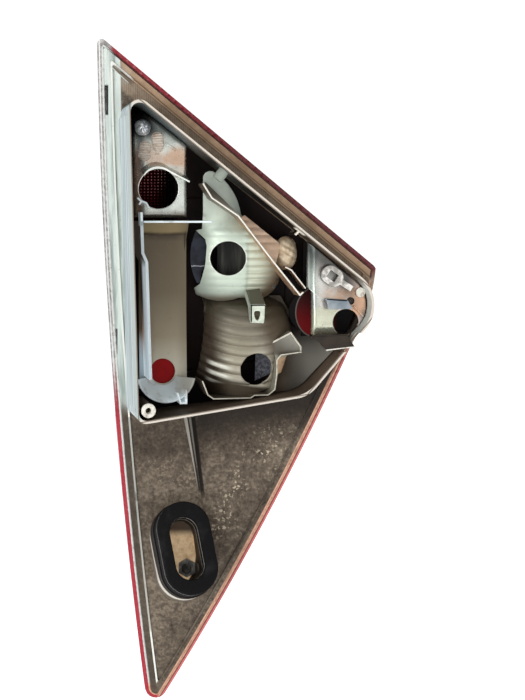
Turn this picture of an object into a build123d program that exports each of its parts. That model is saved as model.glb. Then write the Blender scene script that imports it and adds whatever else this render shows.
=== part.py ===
"""Triangular rear lamp cluster for the right-hand side of a car, seen from its open back.

Frame: the origin is the mouth of the locating bush. +X points outboard, +Y out through the lens
and +Z up. The rim of the bulb chamber, which seats on the car body, lies in the plane y = 0.
Outlines are given as (x, z), as they are seen from the back. All sizes are in millimetres.
"""

import os
from math import cos, radians, sin, sqrt

from build123d import *

os.makedirs("parts", exist_ok=True)

# Lens outline: three corners, a knee below the right corner and the bow of each side
lamp_top = 286.0
lamp_bottom = -266.0
lamp_left = -31.6
lamp_right = 182.0
right_corner_z = 107.0
bottom_corner_x = 10.0
knee = (lamp_right - 17.5, 44.5)
nose_bow = (lamp_right - 4.5, 78.0)
lower_bow = (95.0, -109.0)
left_bow = (-19.3, 15.0)
tip_round = 3.0
bottom_round = 8.5

# Weld plane of the lens: its depth behind the rim at the top corner, and its slope to the left and downwards
depth_top = 45.0
weld_sweep = 0.2165
weld_rake = 0.0852

# Lens shell
lens_wall = 3.0
lens_height = 27.0
lens_sweep_radius = 600.0
lens_rise_radius = 3500.0
lens_centre = (70.0, 15.0)
foot_width = 6.5
foot_thick = 3.0
lens_reach = 200.0
lens_turn = 14.0
window_fit = 0.05
clear_window = [(38.0, 22.0), (118.0, 34.0), (118.0, 108.0), (52.0, 162.0), (38.0, 162.0)]
window_round = 5.0
reflex_inset = 15.0
reflex_top = -30.0
reflex_thick = 3.0

# Housing shell
flange_inset = 4.5
seal_width = 1.4
seal_thick = 1.6
pan_wall = 2.5
step_inset = 9.0
step_width = 1.4
step_height = 1.4
wall = 2.2
rim_corners = [(-14.7, 243.3), (189.7, 81.6), (124.8, 7.9), (-9.3, -11.1)]
rim_rounds = [9.0, 28.0, 25.0, 8.0]
opening_inset = foot_width + 0.3
band_proud = 1.4
band_depth_top = 44.0
band_depth_bottom = 25.0
band_top_z = 222.0
band_bottom_z = 2.0
rib = 1.4
skirt_notch = [(147.0, 56.5), (168.0, 56.5), (168.0, 42.0), (147.0, 42.0)]
skirt_notch_depth = 8.0
flange_slots = [(-25.0, 236.0), (-17.5, 48.5)]
slot_length = 20.0
slot_width = 1.5
gusset_top = (34.0, 30.0)
gusset_foot = (49.0, -78.0)
gusset_start_z = -4.0
peg_radius = 4.2
peg_length = 9.5
peg_depth = 8.0
peg_root_x = 60.5
ceiling_rib = [(115.9, 132.7), (121.0, 137.0)]
corner_tab = [(-21.0, 260.0), (-20.0, 261.0), (-7.5, 249.5), (-8.5, 248.5)]
corner_tab_height = 5.0

# Oval boss with its sealing ring, leaning up towards the body panel
boss_centre = (33.5, 24.0, -112.0)
boss_lean = 18.0
boss_turn = 8.0
ring_length = 74.0
ring_width = 42.5
ring_hole_length = 50.0
ring_hole_width = 23.5
ring_thick = 18.0
collar_proud = 1.0
collar_reach = 80.0
nut_across = 13.0
nut_height = 5.0
stud_diameter = 8.0
stud_proud = 1.5
stud_fit = 0.2
nut_place = (39.5, -136.0)

# Locating boss and bush at the origin
bush_flange_radius = 5.6
bush_flange_thick = 1.5
bush_shank_radius = 3.6
bush_length = 9.0
bush_bore = 4.4
bush_fit = 0.1
locating_boss_radius = 5.2
locating_boss_length = 52.0

# Bulb holes: place as seen from the back and diameter
tail_hole = (12.1, 167.7)
tail_bore = 30.0
indicator_hole = (67.0, 114.2)
indicator_bore = 26.5
reversing_hole = (88.7, 27.4)
reversing_bore = 25.5
corner_hole = (157.7, 64.1)
corner_bore = 20.5
side_hole = (17.3, 25.6)
side_bore = 19.5

# Reflectors
seat = 0.3
reflector_wall = 2.0
optic_standoff = 6.0
optic_thick = 2.0
tail_depth = 24.0
tail_left = -7.0
tail_right = 29.3
tail_edge = 4.0
hood_depth = 11.0
hood_dip = 4.0
stake_place = (0.0, 214.2)
stake_radius = 6.6
stake_height = 6.0
pads = [(11.6, 203.4, 4), (1.6, 196.6, -6)]
pad_length = 15.5
pad_width = 9.6
pad_height = 2.0
pad_pitch = 2.4
pad_rib = 1.0
pad_ribs = 5
shelf_top = 143.5
shelf_front = 12.0
shelf_thick = 1.6
shelf_right = 51.2
column_left = 2.6
column_right = 36.5
column_depth = 44.0
column_bottom = 12.0
crease_z = 132.0
panel_sag = 1.5
skirt_radius = 22.5
skirt_front = 24.0
bowl_wall = 2.4
corner_depth = 13.0
corner_left = 127.5
corner_bottom = 52.0


def back_view(depth):
    """Plane parallel to the rim at a depth, with X to the right, Z up and its normal towards the viewer."""
    return Plane(origin=(0, depth, 0), x_dir=(1, 0, 0), z_dir=(0, -1, 0))


weld_normal = Vector(weld_sweep, 1, weld_rake).normalized()


def weld_depth(x, z):
    """Depth of the weld plane at a place seen from the back."""
    return depth_top - weld_sweep * (x - lamp_left) - weld_rake * (z - lamp_top)


weld_plane = Plane(
    origin=(lens_centre[0], weld_depth(*lens_centre), lens_centre[1]),
    x_dir=(weld_normal.Y, -weld_normal.X, 0),
    z_dir=weld_normal,
)
pan_back = weld_plane.offset(-pan_wall)
optic_plane = weld_plane.offset(optic_standoff)


def lamp_outline(inset):
    """Lamp outline moved in by inset: a straight top side and three bowed sides with round corners."""
    top = (lamp_left, lamp_top)
    right = (lamp_right, right_corner_z)
    bottom = (bottom_corner_x, lamp_bottom)
    with BuildSketch() as outline:
        with BuildLine():
            Line(top, right)
            ThreePointArc(right, nose_bow, knee)
            ThreePointArc(knee, lower_bow, bottom)
            ThreePointArc(bottom, left_bow, top)
        make_face()
        if inset > 0:
            offset(amount=-inset, kind=Kind.INTERSECTION)
        corners = outline.vertices()
        fillet(corners.sort_by(Axis.Y)[-1], radius=max(tip_round - inset, 1.0))
        fillet(outline.vertices().sort_by(Axis.Y)[0], radius=max(bottom_round - inset, 1.0))
    return outline.sketch


def rim_outline(inset):
    """Outline of the chamber rim moved in by inset, with its four corners rounded."""
    with BuildSketch() as outline:
        with BuildLine():
            Polyline(*rim_corners, close=True)
        make_face()
        if inset > 0:
            offset(amount=-inset, kind=Kind.INTERSECTION)
        for (x, z), round_ in zip(rim_corners, rim_rounds):
            corner = outline.vertices().sort_by_distance((x, z, 0))[0]
            fillet(corner, radius=max(round_ - inset, 1.0))
    return outline.sketch


def polygon(points):
    """Closed face through the given points."""
    with BuildSketch() as face:
        with BuildLine():
            Polyline(*points, close=True)
        make_face()
    return face.sketch


def disc(place, diameter):
    """Round face of a diameter at a place seen from the back."""
    with BuildSketch() as face:
        with Locations(place):
            Circle(diameter / 2)
    return face.sketch


def prism(face, near, far):
    """Solid of a back-view face between two depths."""
    with BuildPart() as solid:
        with BuildSketch(back_view(near)):
            add(face)
        extrude(amount=near - far)
    return solid.part


def strip(points, width, near, far):
    """Thin upright rib that follows a line of points between two depths."""
    with BuildPart() as solid:
        with BuildSketch(back_view(near)):
            with BuildLine():
                Polyline(*points)
            trace(line_width=width)
        extrude(amount=near - far)
    return solid.part


def slab(face, low, high):
    """Part of a back-view face's prism that lies between two heights above the weld plane."""
    with BuildPart() as solid:
        with BuildSketch(back_view(-lens_reach / 2)):
            add(face)
        extrude(amount=-2 * lens_reach)
        split(bisect_by=weld_plane.offset(low), keep=Keep.TOP)
        split(bisect_by=weld_plane.offset(high), keep=Keep.BOTTOM)
    return solid.part


def lens_block(inset, height):
    """Solid from the weld plane up to a lens front that is bowed both ways, inside the lamp outline."""
    drop = lens_sweep_radius - sqrt(lens_sweep_radius**2 - lens_reach**2)
    half_turn = radians(lens_turn / 2)
    hub = weld_plane.from_local_coords(Vector(0, 0, height - lens_rise_radius))
    spoke = weld_plane.z_dir * cos(half_turn) - weld_plane.y_dir * sin(half_turn)
    section = Plane(origin=hub, x_dir=weld_plane.x_dir, z_dir=weld_plane.x_dir.cross(spoke))
    low = lens_rise_radius - lens_reach
    crown = lens_rise_radius - drop
    with BuildPart() as block:
        with BuildSketch(back_view(-lens_reach / 2)):
            add(lamp_outline(inset))
        extrude(amount=-2 * lens_reach)
        split(bisect_by=weld_plane, keep=Keep.TOP)
        with BuildSketch(section):
            with BuildLine():
                ThreePointArc((-lens_reach, crown), (0, lens_rise_radius), (lens_reach, crown))
                Polyline((lens_reach, crown), (lens_reach, low), (-lens_reach, low), (-lens_reach, crown))
            make_face()
        revolve(axis=Axis(hub, weld_plane.x_dir * -1), revolution_arc=lens_turn, mode=Mode.INTERSECT)
    return block.part


def wall_line(first, second, shift):
    """Line of a chamber wall between two rim corners, moved up by shift across it, as a function of x."""
    (x0, z0), (x1, z1) = rim_corners[first], rim_corners[second]
    slope = (z1 - z0) / (x1 - x0)
    return lambda x: z0 + slope * (x - x0) + shift * sqrt(1 + slope**2)


ceiling = wall_line(0, 1, -wall)
floor = wall_line(3, 2, wall)


# Housing: flange and pan on the weld plane, chamber walls, ribs, oval boss and locating boss
boss_axis = Vector(0, -cos(radians(boss_lean)), sin(radians(boss_lean)))
ring_top = Plane(origin=boss_centre, x_dir=(1, 0, 0), z_dir=boss_axis)
ring_seat = ring_top.offset(-ring_thick)

with BuildPart() as oval_boss:
    with BuildSketch(ring_seat):
        SlotOverall(ring_length + 2 * collar_proud, ring_width + 2 * collar_proud, rotation=90 + boss_turn)
    extrude(amount=-collar_reach)
    split(bisect_by=pan_back, keep=Keep.BOTTOM)

with BuildPart() as boss_pocket:
    with BuildSketch(ring_seat):
        SlotOverall(ring_hole_length, ring_hole_width, rotation=90 + boss_turn)
    extrude(amount=-collar_reach)
    split(bisect_by=pan_back, keep=Keep.BOTTOM)

# Raised band on the outer face of the left wall, a wedge that narrows downwards
left_slope = (rim_corners[3][0] - rim_corners[0][0]) / (rim_corners[3][1] - rim_corners[0][1])


def left_face(z):
    """Outer face of the left wall at a height."""
    return rim_corners[0][0] + left_slope * (z - rim_corners[0][1])


with BuildPart() as left_band:
    with BuildSketch(Plane.YZ.offset(left_face(band_bottom_z) - 20)):
        with BuildLine():
            Polyline(
                (0, band_bottom_z),
                (band_depth_bottom, band_bottom_z),
                (band_depth_top, band_top_z),
                (0, band_top_z),
                close=True,
            )
        make_face()
    extrude(amount=40)
    band_ends = [band_bottom_z, band_top_z]
    band_plan = [(left_face(z) - band_proud, z) for z in band_ends]
    band_plan += [(left_face(z) + wall / 2, z) for z in reversed(band_ends)]
    with BuildSketch(back_view(0)):
        add(polygon(band_plan))
    extrude(amount=-lens_reach, mode=Mode.INTERSECT)

# Triangular gusset between the chamber's bottom wall and the pan
gusset_run = Vector(gusset_foot[0] - gusset_top[0], 0, gusset_foot[1] - gusset_start_z)
gusset_plane = Plane(
    origin=(gusset_top[0], 0, gusset_start_z),
    x_dir=gusset_run,
    z_dir=gusset_run.cross(Vector(0, 1, 0)),
)
gusset_length = gusset_run.length
foot_depth = weld_depth(*gusset_foot) - pan_wall

with BuildPart() as gusset:
    with BuildSketch(gusset_plane):
        with BuildLine():
            Polyline(
                (0, gusset_top[1]),
                (gusset_length, foot_depth),
                (gusset_length, foot_depth + pan_wall / 2),
                (0, weld_depth(gusset_top[0], gusset_start_z) - pan_wall / 2),
                close=True,
            )
        make_face()
    extrude(amount=rib / 2, both=True)

# Round peg that stands square on the inner face of the ceiling wall
ceiling_run = Vector(rim_corners[1][0] - rim_corners[0][0], 0, rim_corners[1][1] - rim_corners[0][1])
peg_root = Plane(
    origin=(peg_root_x, peg_depth, ceiling(peg_root_x) + wall / 2),
    x_dir=ceiling_run,
    z_dir=ceiling_run.cross(Vector(0, -1, 0)),
)

with BuildPart() as housing:
    add(slab(lamp_outline(flange_inset), -pan_wall, 0))
    add(slab(rim_outline(0), -pan_wall, 0))
    add(slab(lamp_outline(step_inset) - lamp_outline(step_inset + step_width), -pan_wall - step_height, 0))
    with BuildSketch(back_view(0)):
        add(rim_outline(0))
    chamber = extrude(amount=-lens_reach, mode=Mode.PRIVATE)
    add(split(chamber, bisect_by=weld_plane, keep=Keep.BOTTOM, mode=Mode.PRIVATE))
    add(oval_boss.part)
    add(left_band.part)
    add(gusset.part)
    # Mouth of the chamber, and its opening into the lens inside the lens foot
    with BuildSketch(back_view(-1)):
        add(rim_outline(wall))
    mouth = extrude(amount=-lens_reach, mode=Mode.PRIVATE)
    add(split(mouth, bisect_by=pan_back, keep=Keep.BOTTOM, mode=Mode.PRIVATE), mode=Mode.SUBTRACT)
    add(slab(rim_outline(wall) & lamp_outline(opening_inset), -pan_wall - 1, 1), mode=Mode.SUBTRACT)
    add(boss_pocket.part, mode=Mode.SUBTRACT)
    add(prism(polygon(skirt_notch), -1, skirt_notch_depth), mode=Mode.SUBTRACT)
    # Narrow slots along the left edge of the flange
    for x, z in flange_slots:
        with BuildSketch(back_view(0)):
            with Locations((x, z)):
                SlotOverall(slot_length, slot_width, rotation=91)
        extrude(amount=-lens_reach, mode=Mode.SUBTRACT)
    # Peg and rib under the ceiling, locating boss with two webs to the corner walls
    with BuildSketch(peg_root):
        Circle(peg_radius)
    extrude(amount=peg_length)
    add(strip(ceiling_rib, rib, 8, 33))
    add(prism(disc((0, 0), 2 * locating_boss_radius), bush_flange_thick, locating_boss_length))
    add(strip([(0, 0), (0, floor(0) - wall / 2)], rib, 8, locating_boss_length))
    add(strip([(0, 0), (left_face(0) + wall / 2, 0)], rib, 8, locating_boss_length))
    shank_hole = disc((0, 0), 2 * (bush_shank_radius + bush_fit))
    add(prism(shank_hole, 0, bush_length + bush_fit), mode=Mode.SUBTRACT)
    add(slab(polygon(corner_tab), -pan_wall - corner_tab_height, 0))
housing.part.label = "housing"
export_step(housing.part, "parts/housing.step")

with BuildPart() as locating_bush:
    add(prism(disc((0, 0), 2 * bush_flange_radius), 0, bush_flange_thick))
    add(prism(disc((0, 0), 2 * bush_shank_radius), 0, bush_length))
    add(prism(disc((0, 0), bush_bore), 0, bush_length), mode=Mode.SUBTRACT)
locating_bush.part.label = "locating_bush"
export_step(locating_bush.part, "parts/locating_bush.step")

with BuildPart() as boss_gasket:
    with BuildSketch(ring_seat):
        SlotOverall(ring_length, ring_width, rotation=90 + boss_turn)
        SlotOverall(ring_hole_length, ring_hole_width, rotation=90 + boss_turn, mode=Mode.SUBTRACT)
    extrude(amount=ring_thick)
boss_gasket.part.label = "boss_gasket"
export_step(boss_gasket.part, "parts/boss_gasket.step")

# Stud and nut on the floor of the boss pocket
nut_origin = Vector(nut_place[0], weld_depth(*nut_place), nut_place[1]) - weld_normal * pan_wall
nut_plane = Plane(origin=nut_origin, x_dir=(0, 0, 1), z_dir=weld_normal * -1)

with BuildPart() as fixing_nut:
    with BuildSketch(nut_plane):
        RegularPolygon(nut_across / 2, 6, major_radius=False)
        Circle(stud_diameter / 2 + stud_fit, mode=Mode.SUBTRACT)
    extrude(amount=nut_height)
    chamfer(fixing_nut.faces().sort_by(Axis.Y)[0].outer_wire().edges(), length=0.6)
fixing_nut.part.label = "fixing_nut"
export_step(fixing_nut.part, "parts/fixing_nut.step")

with BuildPart() as fixing_stud:
    with BuildSketch(nut_plane):
        Circle(stud_diameter / 2)
    extrude(amount=nut_height + stud_proud)
    chamfer(fixing_stud.faces().sort_by(Axis.Y)[0].edges(), length=0.8)
fixing_stud.part.label = "fixing_stud"
export_step(fixing_stud.part, "parts/fixing_stud.step")

# Lens: red shell with a foot on the flange, clear insert, sealing bead and reflex plate
with BuildSketch() as window_face:
    add(polygon(clear_window))
    fillet(window_face.vertices(), radius=window_round)

with BuildSketch() as window_hole:
    add(window_face.sketch)
    offset(amount=window_fit)

with BuildPart() as lens_shell:
    add(lens_block(0, lens_height))
    add(lens_block(lens_wall, lens_height - lens_wall), mode=Mode.SUBTRACT)

with BuildPart() as red_lens:
    add(lens_shell.part)
    add(slab(lamp_outline(0) - lamp_outline(foot_width), 0, foot_thick))
    add(prism(window_hole.sketch, 0, lens_reach), mode=Mode.SUBTRACT)
red_lens.part.label = "red_lens"
export_step(red_lens.part, "parts/red_lens.step")

with BuildPart() as clear_lens:
    add(lens_shell.part)
    add(prism(window_face.sketch, 0, lens_reach), mode=Mode.INTERSECT)
clear_lens.part.label = "clear_lens"
export_step(clear_lens.part, "parts/clear_lens.step")

with BuildPart() as lens_seal:
    seal_face = lamp_outline(flange_inset - seal_width) - lamp_outline(flange_inset) - rim_outline(0)
    add(slab(seal_face, -seal_thick, 0))
lens_seal.part.label = "lens_seal"
export_step(lens_seal.part, "parts/lens_seal.step")

with BuildPart() as reflex_reflector:
    add(slab(lamp_outline(reflex_inset), 0, reflex_thick))
    split(bisect_by=Plane.XY.offset(reflex_top), keep=Keep.BOTTOM)
reflex_reflector.part.label = "reflex_reflector"
export_step(reflex_reflector.part, "parts/reflex_reflector.step")

# Tail reflector: box-shaped metallised bowl with hood, grip pads, rib and broken edge
tail_bottom = shelf_top + seat
tail_face = polygon(
    [
        (tail_left, tail_bottom),
        (tail_right, tail_bottom),
        (tail_right, ceiling(tail_right) - seat),
        (tail_left + 9, ceiling(tail_left + 9) - seat),
        (tail_left, ceiling(tail_left + 9) - 3),
    ]
)
with BuildPart() as tail_body:
    with BuildSketch(back_view(tail_depth)):
        add(tail_face)
    extrude(amount=-lens_reach)
    fillet(tail_body.faces().sort_by(Axis.Y)[0].edges(), radius=tail_edge)
    split(bisect_by=optic_plane, keep=Keep.BOTTOM)
    offset(amount=-reflector_wall, openings=tail_body.faces().sort_by(Axis.Y)[-1])

with BuildPart() as tail_reflector:
    add(tail_body.part)
    add(prism(disc(tail_hole, tail_bore), 0, tail_depth + 8), mode=Mode.SUBTRACT)
    broken_edge = [(-4.0, 160.5), (1.5, 158.5), (4.5, 152.5), (-1.0, 152.0)]
    add(prism(polygon(broken_edge), 0, tail_depth + 8), mode=Mode.SUBTRACT)
    # Visor over the bulb hole, which dips towards its front edge
    for depth, lift in ((hood_depth, 0), (tail_depth + 1, hood_dip)):
        with BuildSketch(back_view(depth)):
            with BuildLine():
                arch = ThreePointArc((-1.5, 178.0 + lift), (8.0, 184.3 + lift), (18.5, 181.6 + lift))
                Line(arch @ 1, (34.3, 173.5 + lift))
            trace(line_width=1.6)
    loft()
    # Two grip pads with cross ribs beside the stake
    for x, z, turn in pads:
        with BuildSketch(back_view(tail_depth - pad_height)):
            with Locations((x, z)):
                SlotOverall(pad_length, pad_width, rotation=90 + turn)
        extrude(amount=-pad_height - 1)
        with BuildSketch(back_view(tail_depth - pad_height - pad_rib)):
            with Locations(Location((x, z, 0), turn)):
                with GridLocations(0, pad_pitch, 1, pad_ribs):
                    Rectangle(pad_width - 2, pad_rib)
        extrude(amount=-pad_rib - 1)
    add(strip([(17.6, 202.3), (25.3, 197.0)], rib, tail_depth - 3, tail_depth + 1))
tail_reflector.part.label = "tail_reflector"
export_step(tail_reflector.part, "parts/tail_reflector.step")

stake_ball = (stake_radius**2 + stake_height**2) / (2 * stake_height)
stake_foot = (stake_place[0], tail_depth, stake_place[1])
with BuildPart() as reflector_stake:
    with BuildSketch(Plane(origin=stake_foot, x_dir=(1, 0, 0), z_dir=(0, 0, 1))):
        with BuildLine():
            RadiusArc((0, -stake_height), (stake_radius, 0), -stake_ball)
            Polyline((stake_radius, 0), (0, 0), (0, -stake_height))
        make_face()
    revolve(axis=Axis(stake_foot, (0, 1, 0)))
reflector_stake.part.label = "reflector_stake"
export_step(reflector_stake.part, "parts/reflector_stake.step")

with BuildPart() as tail_optic:
    add(slab(tail_face, optic_standoff, optic_standoff + optic_thick))
tail_optic.part.label = "tail_optic"
export_step(tail_optic.part, "parts/tail_optic.step")

# Side reflector: shelf, tall panel, side wall, half-funnel skirt and hook
side_wall_line = [(-2.6, shelf_top - 0.2), (-1.9, 119.0), (1.1, 112.0), (column_left + 1, 22.0)]
panel_top = (30.0, shelf_top - shelf_thick / 2)
panel_crease = (column_depth, crease_z)
panel_foot = (column_depth, column_bottom)
panel_bow = (column_depth + panel_sag, (crease_z + column_bottom) / 2)
with BuildPart() as side_panel:
    with BuildSketch(Plane.YZ.offset(-1.0)):
        with BuildLine():
            Line(panel_top, panel_crease)
            ThreePointArc(panel_crease, panel_bow, panel_foot)
        trace(line_width=reflector_wall)
    extrude(amount=column_right + 1.0)

with BuildPart() as side_skirt:
    with BuildSketch(Plane(origin=(side_hole[0], 0, side_hole[1]), x_dir=(1, 0, 0), z_dir=(0, 0, 1))):
        with BuildLine():
            Polyline(
                (side_bore / 2 + 1, column_depth),
                (side_bore / 2 + 1, column_depth - 4),
                (skirt_radius, skirt_front),
                (skirt_radius - reflector_wall, skirt_front),
                (side_bore / 2 - 1, column_depth - 5),
                (side_bore / 2 - 1, column_depth),
                close=True,
            )
        make_face()
    revolve(axis=Axis((side_hole[0], 0, side_hole[1]), (0, 1, 0)))
    split(bisect_by=Plane.XY.offset(side_hole[1] - 4), keep=Keep.BOTTOM)

with BuildPart() as side_reflector:
    add(side_panel.part)
    shelf_plan = [
        (-1.0, shelf_front),
        (shelf_right, shelf_front),
        (shelf_right - 2.2, 32.0),
        (column_right - 2, 32.0),
        (column_right - 2, 40.0),
        (-1.0, 40.0),
    ]
    with BuildSketch(Plane.XY.offset(shelf_top - shelf_thick)):
        add(polygon(shelf_plan))
    extrude(amount=shelf_thick)
    add(strip(side_wall_line, reflector_wall, shelf_front, 56))
    add(strip([(-2.9, 150.0), (-2.6, shelf_top - 4)], reflector_wall, shelf_front, tail_depth - 0.5))
    add(side_skirt.part)
    add(strip([(25.4, 11.0), (27.7, 2.6), (32.3, 2.6), (32.3, 13.5)], rib, 20, column_depth))
    add(prism(disc(side_hole, side_bore), 0, 60), mode=Mode.SUBTRACT)
    slant = [(-9.0, 17.0), (column_left + 6, 25.5), (column_left + 6, 14.0), (-9.0, 10.0)]
    add(prism(polygon(slant), 0, 20), mode=Mode.SUBTRACT)
side_reflector.part.label = "side_reflector"
export_step(side_reflector.part, "parts/side_reflector.step")

with BuildPart() as side_optic:
    optic_back = column_depth + reflector_wall / 2 + panel_sag
    add(prism(disc(side_hole, side_bore + 4), optic_back, optic_back + optic_thick))
side_optic.part.label = "side_optic"
export_step(side_optic.part, "parts/side_optic.step")


def fluted_bowl(axis_point, lean, radius, rise, drop, low, high, pitch, crest):
    """Thin barrel with ring flutes: ridges of one pitch rise by crest from an ellipse of the given radius."""
    axis_dir = Vector(0, -sin(radians(lean)), cos(radians(lean)))
    front_dir = Vector(0, cos(radians(lean)), sin(radians(lean)))

    def girth(h):
        reach = rise if h > 0 else drop
        return radius * sqrt(1 - (h / reach) ** 2)

    count = round((high - low) / pitch)
    steps = [low + (high - low) * i / count for i in range(count + 1)]
    outer = [(girth(h), h) for h in steps]
    inner = [(r - bowl_wall, h) for r, h in outer[:-1:3] + outer[-1:]]
    section = Plane(origin=axis_point, x_dir=front_dir, z_dir=(1, 0, 0))
    with BuildPart() as bowl:
        with BuildSketch(section):
            with BuildLine():
                for (r0, h0), (r1, h1) in zip(outer[:-1], outer[1:]):
                    Polyline((r0, h0), ((r0 + r1) / 2 + crest, (h0 + h1) / 2), (r1, h1))
                Polyline(outer[-1], *reversed(inner), outer[0])
            make_face()
        revolve(axis=Axis(axis_point, axis_dir))
    with BuildPart() as inside:
        with BuildSketch(section):
            add(polygon([(0, low), *inner, (0, high)]))
        revolve(axis=Axis(axis_point, axis_dir))
    return bowl.part, inside.part


# Indicator reflector: fluted bowl, smooth leaf above it, long fin, bulge and keyhole arm
indicator_axis = (80.0, 68.0, 112.0)
indicator_bowl, indicator_hollow = fluted_bowl(indicator_axis, 0, 43.0, 90.0, 44.0, -28.0, 35.0, 7.9, 0.6)
fin_line = [(45.1, 172.0), (52.0, 160.8), (72.7, 147.0), (102.2, 109.2), (121.4, 85.7), (124.2, 88.0)]
moon_edge = [(44.1, 135.9), (50.5, 128.8), (51.3, 123.6), (50.1, 108.6), (47.4, 94.1)]
moon_face = polygon([(20.0, 135.9), *moon_edge, (20.0, 94.1)])
above_fin = polygon([(78.6, 148.5), (132.0, 109.0), (132.0, 200.0), (78.6, 200.0)])
leaf_depth = 33.0
leaf_left = 48.3
screen_depth = 44.3
screen_thick = 1.2
key_left = 81.0
key_right = 92.8
key_front = 12.0
key_cheek = [(key_front, 64.5), (key_front, 79.2), (36.0, 92.6), (33.0, 84.0), (21.0, 77.5), (16.5, 67.0)]

with BuildPart() as indicator_shell:
    add(indicator_bowl)
    split(bisect_by=optic_plane, keep=Keep.BOTTOM)
    add(prism(disc(indicator_hole, indicator_bore), 0, 44), mode=Mode.SUBTRACT)
    add(prism(moon_face, 0, lens_reach), mode=Mode.SUBTRACT)
    add(prism(above_fin, 0, lens_reach), mode=Mode.SUBTRACT)

# Leaf above the bowl: upright left edge, rounded top and a bowed right edge down to the fin
with BuildPart() as indicator_leaf:
    with BuildSketch(back_view(leaf_depth)):
        with BuildLine():
            Polyline((78.6, 148.0), (76.0, 139.0), (leaf_left, 137.0), (leaf_left, 175.0))
            ThreePointArc((leaf_left, 175.0), (51.5, 181.5), (58.0, 180.0))
            ThreePointArc((58.0, 180.0), (70.5, 168.0), (78.6, 148.0))
        make_face()
    extrude(amount=-bowl_wall)
    add(indicator_hollow, mode=Mode.SUBTRACT)

with BuildPart() as key_arm:
    with BuildSketch(Plane.YZ.offset(key_left)):
        with BuildLine():
            Polyline((key_front, 78.6), (38.0, 93.6))
        trace(line_width=1.8)
    extrude(amount=key_right - key_left)
    with BuildSketch(Plane.YZ.offset(key_left)):
        add(polygon(key_cheek))
    extrude(amount=1.6)
    with BuildSketch(back_view(key_front)):
        add(polygon([(key_left, 65.0), (key_left, 79.2), (key_right, 79.2), (key_right - 0.8, 64.2)]))
        with Locations((86.4, 72.6)):
            Circle(2.6, mode=Mode.SUBTRACT)
        with Locations((86.6, 70.6)):
            SlotOverall(8.6, 2.4, rotation=90, mode=Mode.SUBTRACT)
    extrude(amount=-1.8)

with BuildPart() as indicator_bulge:
    with BuildSketch(Plane(origin=(115.5, 31.5, 118.0), x_dir=(1, 0, 0), z_dir=(0, -1, 0))):
        SlotOverall(27.0, 17.6, rotation=90)
        Rectangle(40, 40, align=(Align.MAX, Align.CENTER), mode=Mode.SUBTRACT)
    revolve(axis=Axis((115.5, 31.5, 118.0), (0, 0, 1)))
    split(bisect_by=optic_plane, keep=Keep.BOTTOM)

# Flap that closes the upper end of the fin: a flat triangle from the fin's edge back to the leaf
flap_corner = Vector(52.0, 16.0, 160.5)
flap_side = Vector(73.7, 16.0, 146.7) - flap_corner
flap_back = Vector(49.1, leaf_depth, 172.9) - flap_corner
flap_plane = Plane(origin=flap_corner, x_dir=flap_side, z_dir=flap_side.cross(flap_back))
flap_tip = flap_plane.to_local_coords(flap_corner + flap_back)
with BuildPart() as fin_flap:
    with BuildSketch(flap_plane):
        add(polygon([(0, 0), (flap_side.length, 0), (flap_tip.X, flap_tip.Y)]))
    extrude(amount=0.8, both=True)

with BuildPart() as indicator_reflector:
    add(indicator_shell.part)
    add(fin_flap.part)
    add(indicator_leaf.part)
    add(indicator_bulge.part)
    add(strip(fin_line, 1.6, 16, 36))
    add(strip([(113.6, 104.6), (125.0, 94.3)], rib, 20, 30))
    add(strip([(104.0, 112.0), (113.6, 104.6)], rib, 24, 32))
    add(key_arm.part)
indicator_reflector.part.label = "indicator_reflector"
export_step(indicator_reflector.part, "parts/indicator_reflector.step")

# Smoked plate across the front of the indicator bowl, and the dark screen in its side opening
indicator_face = [(61.5, 90.0), (106.0, 90.0), (112.0, 122.0), (80.0, 145.0), (61.5, 145.0)]
with BuildPart() as indicator_optic:
    add(slab(polygon(indicator_face), optic_standoff, optic_standoff + optic_thick))
indicator_optic.part.label = "indicator_optic"
export_step(indicator_optic.part, "parts/indicator_optic.step")

screen_top = (44.2, 135.2)
screen_foot = (45.0, 94.5)
with BuildPart() as indicator_screen:
    with BuildSketch(back_view(screen_depth)):
        with BuildLine():
            ThreePointArc(screen_top, (39.7, 117.0), screen_foot)
            Polyline(screen_foot, (47.0, 94.5), (48.6, 103.8), (53.4, 106.4))
            Polyline((53.4, 106.4), (53.4, 127.0), (49.2, 129.7), screen_top)
        make_face()
    extrude(amount=-screen_thick)
indicator_screen.part.label = "indicator_screen"
export_step(indicator_screen.part, "parts/indicator_screen.step")

# Reversing reflector: fluted bowl that leans back, its flange plate and the skirt round its foot
reversing_lean = 14.0
skirt_width = 1.8
flange_standoff = 3.6
ledge_line = [(100.7, 48.0), (116.0, 55.6), (124.0, 44.5), (124.0, 40.7)]
ledge_depth = 24.0


def on_floor(x):
    """Height of a rib's middle line when it seats on the chamber floor at x."""
    return floor(x) + seat + skirt_width / 2


skirt_line = [
    (44.8, 19.7),
    (49.1, 8.6),
    (53.6, 5.4),
    (83.0, on_floor(83.0)),
    (86.0, on_floor(97.0)),
    (97.0, on_floor(97.0)),
    (102.4, 11.5),
    (104.0, 23.8),
    (104.0, 34.8),
    (107.2, 38.7),
    (124.0, 40.7),
]
reversing_bowl, reversing_hollow = fluted_bowl(
    (85.0, 62.0, 43.0), reversing_lean, 40.0, 56.0, 73.0, -36.0, 40.0, 8.4, 1.2
)

with BuildPart() as reversing_plate:
    plate_face = polygon([*skirt_line, (118.0, 54.0), (112.0, 40.0), (60.0, 40.0), (47.0, 26.0)])
    add(slab(plate_face, flange_standoff, flange_standoff + reflector_wall))
    add(reversing_hollow, mode=Mode.SUBTRACT)

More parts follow.
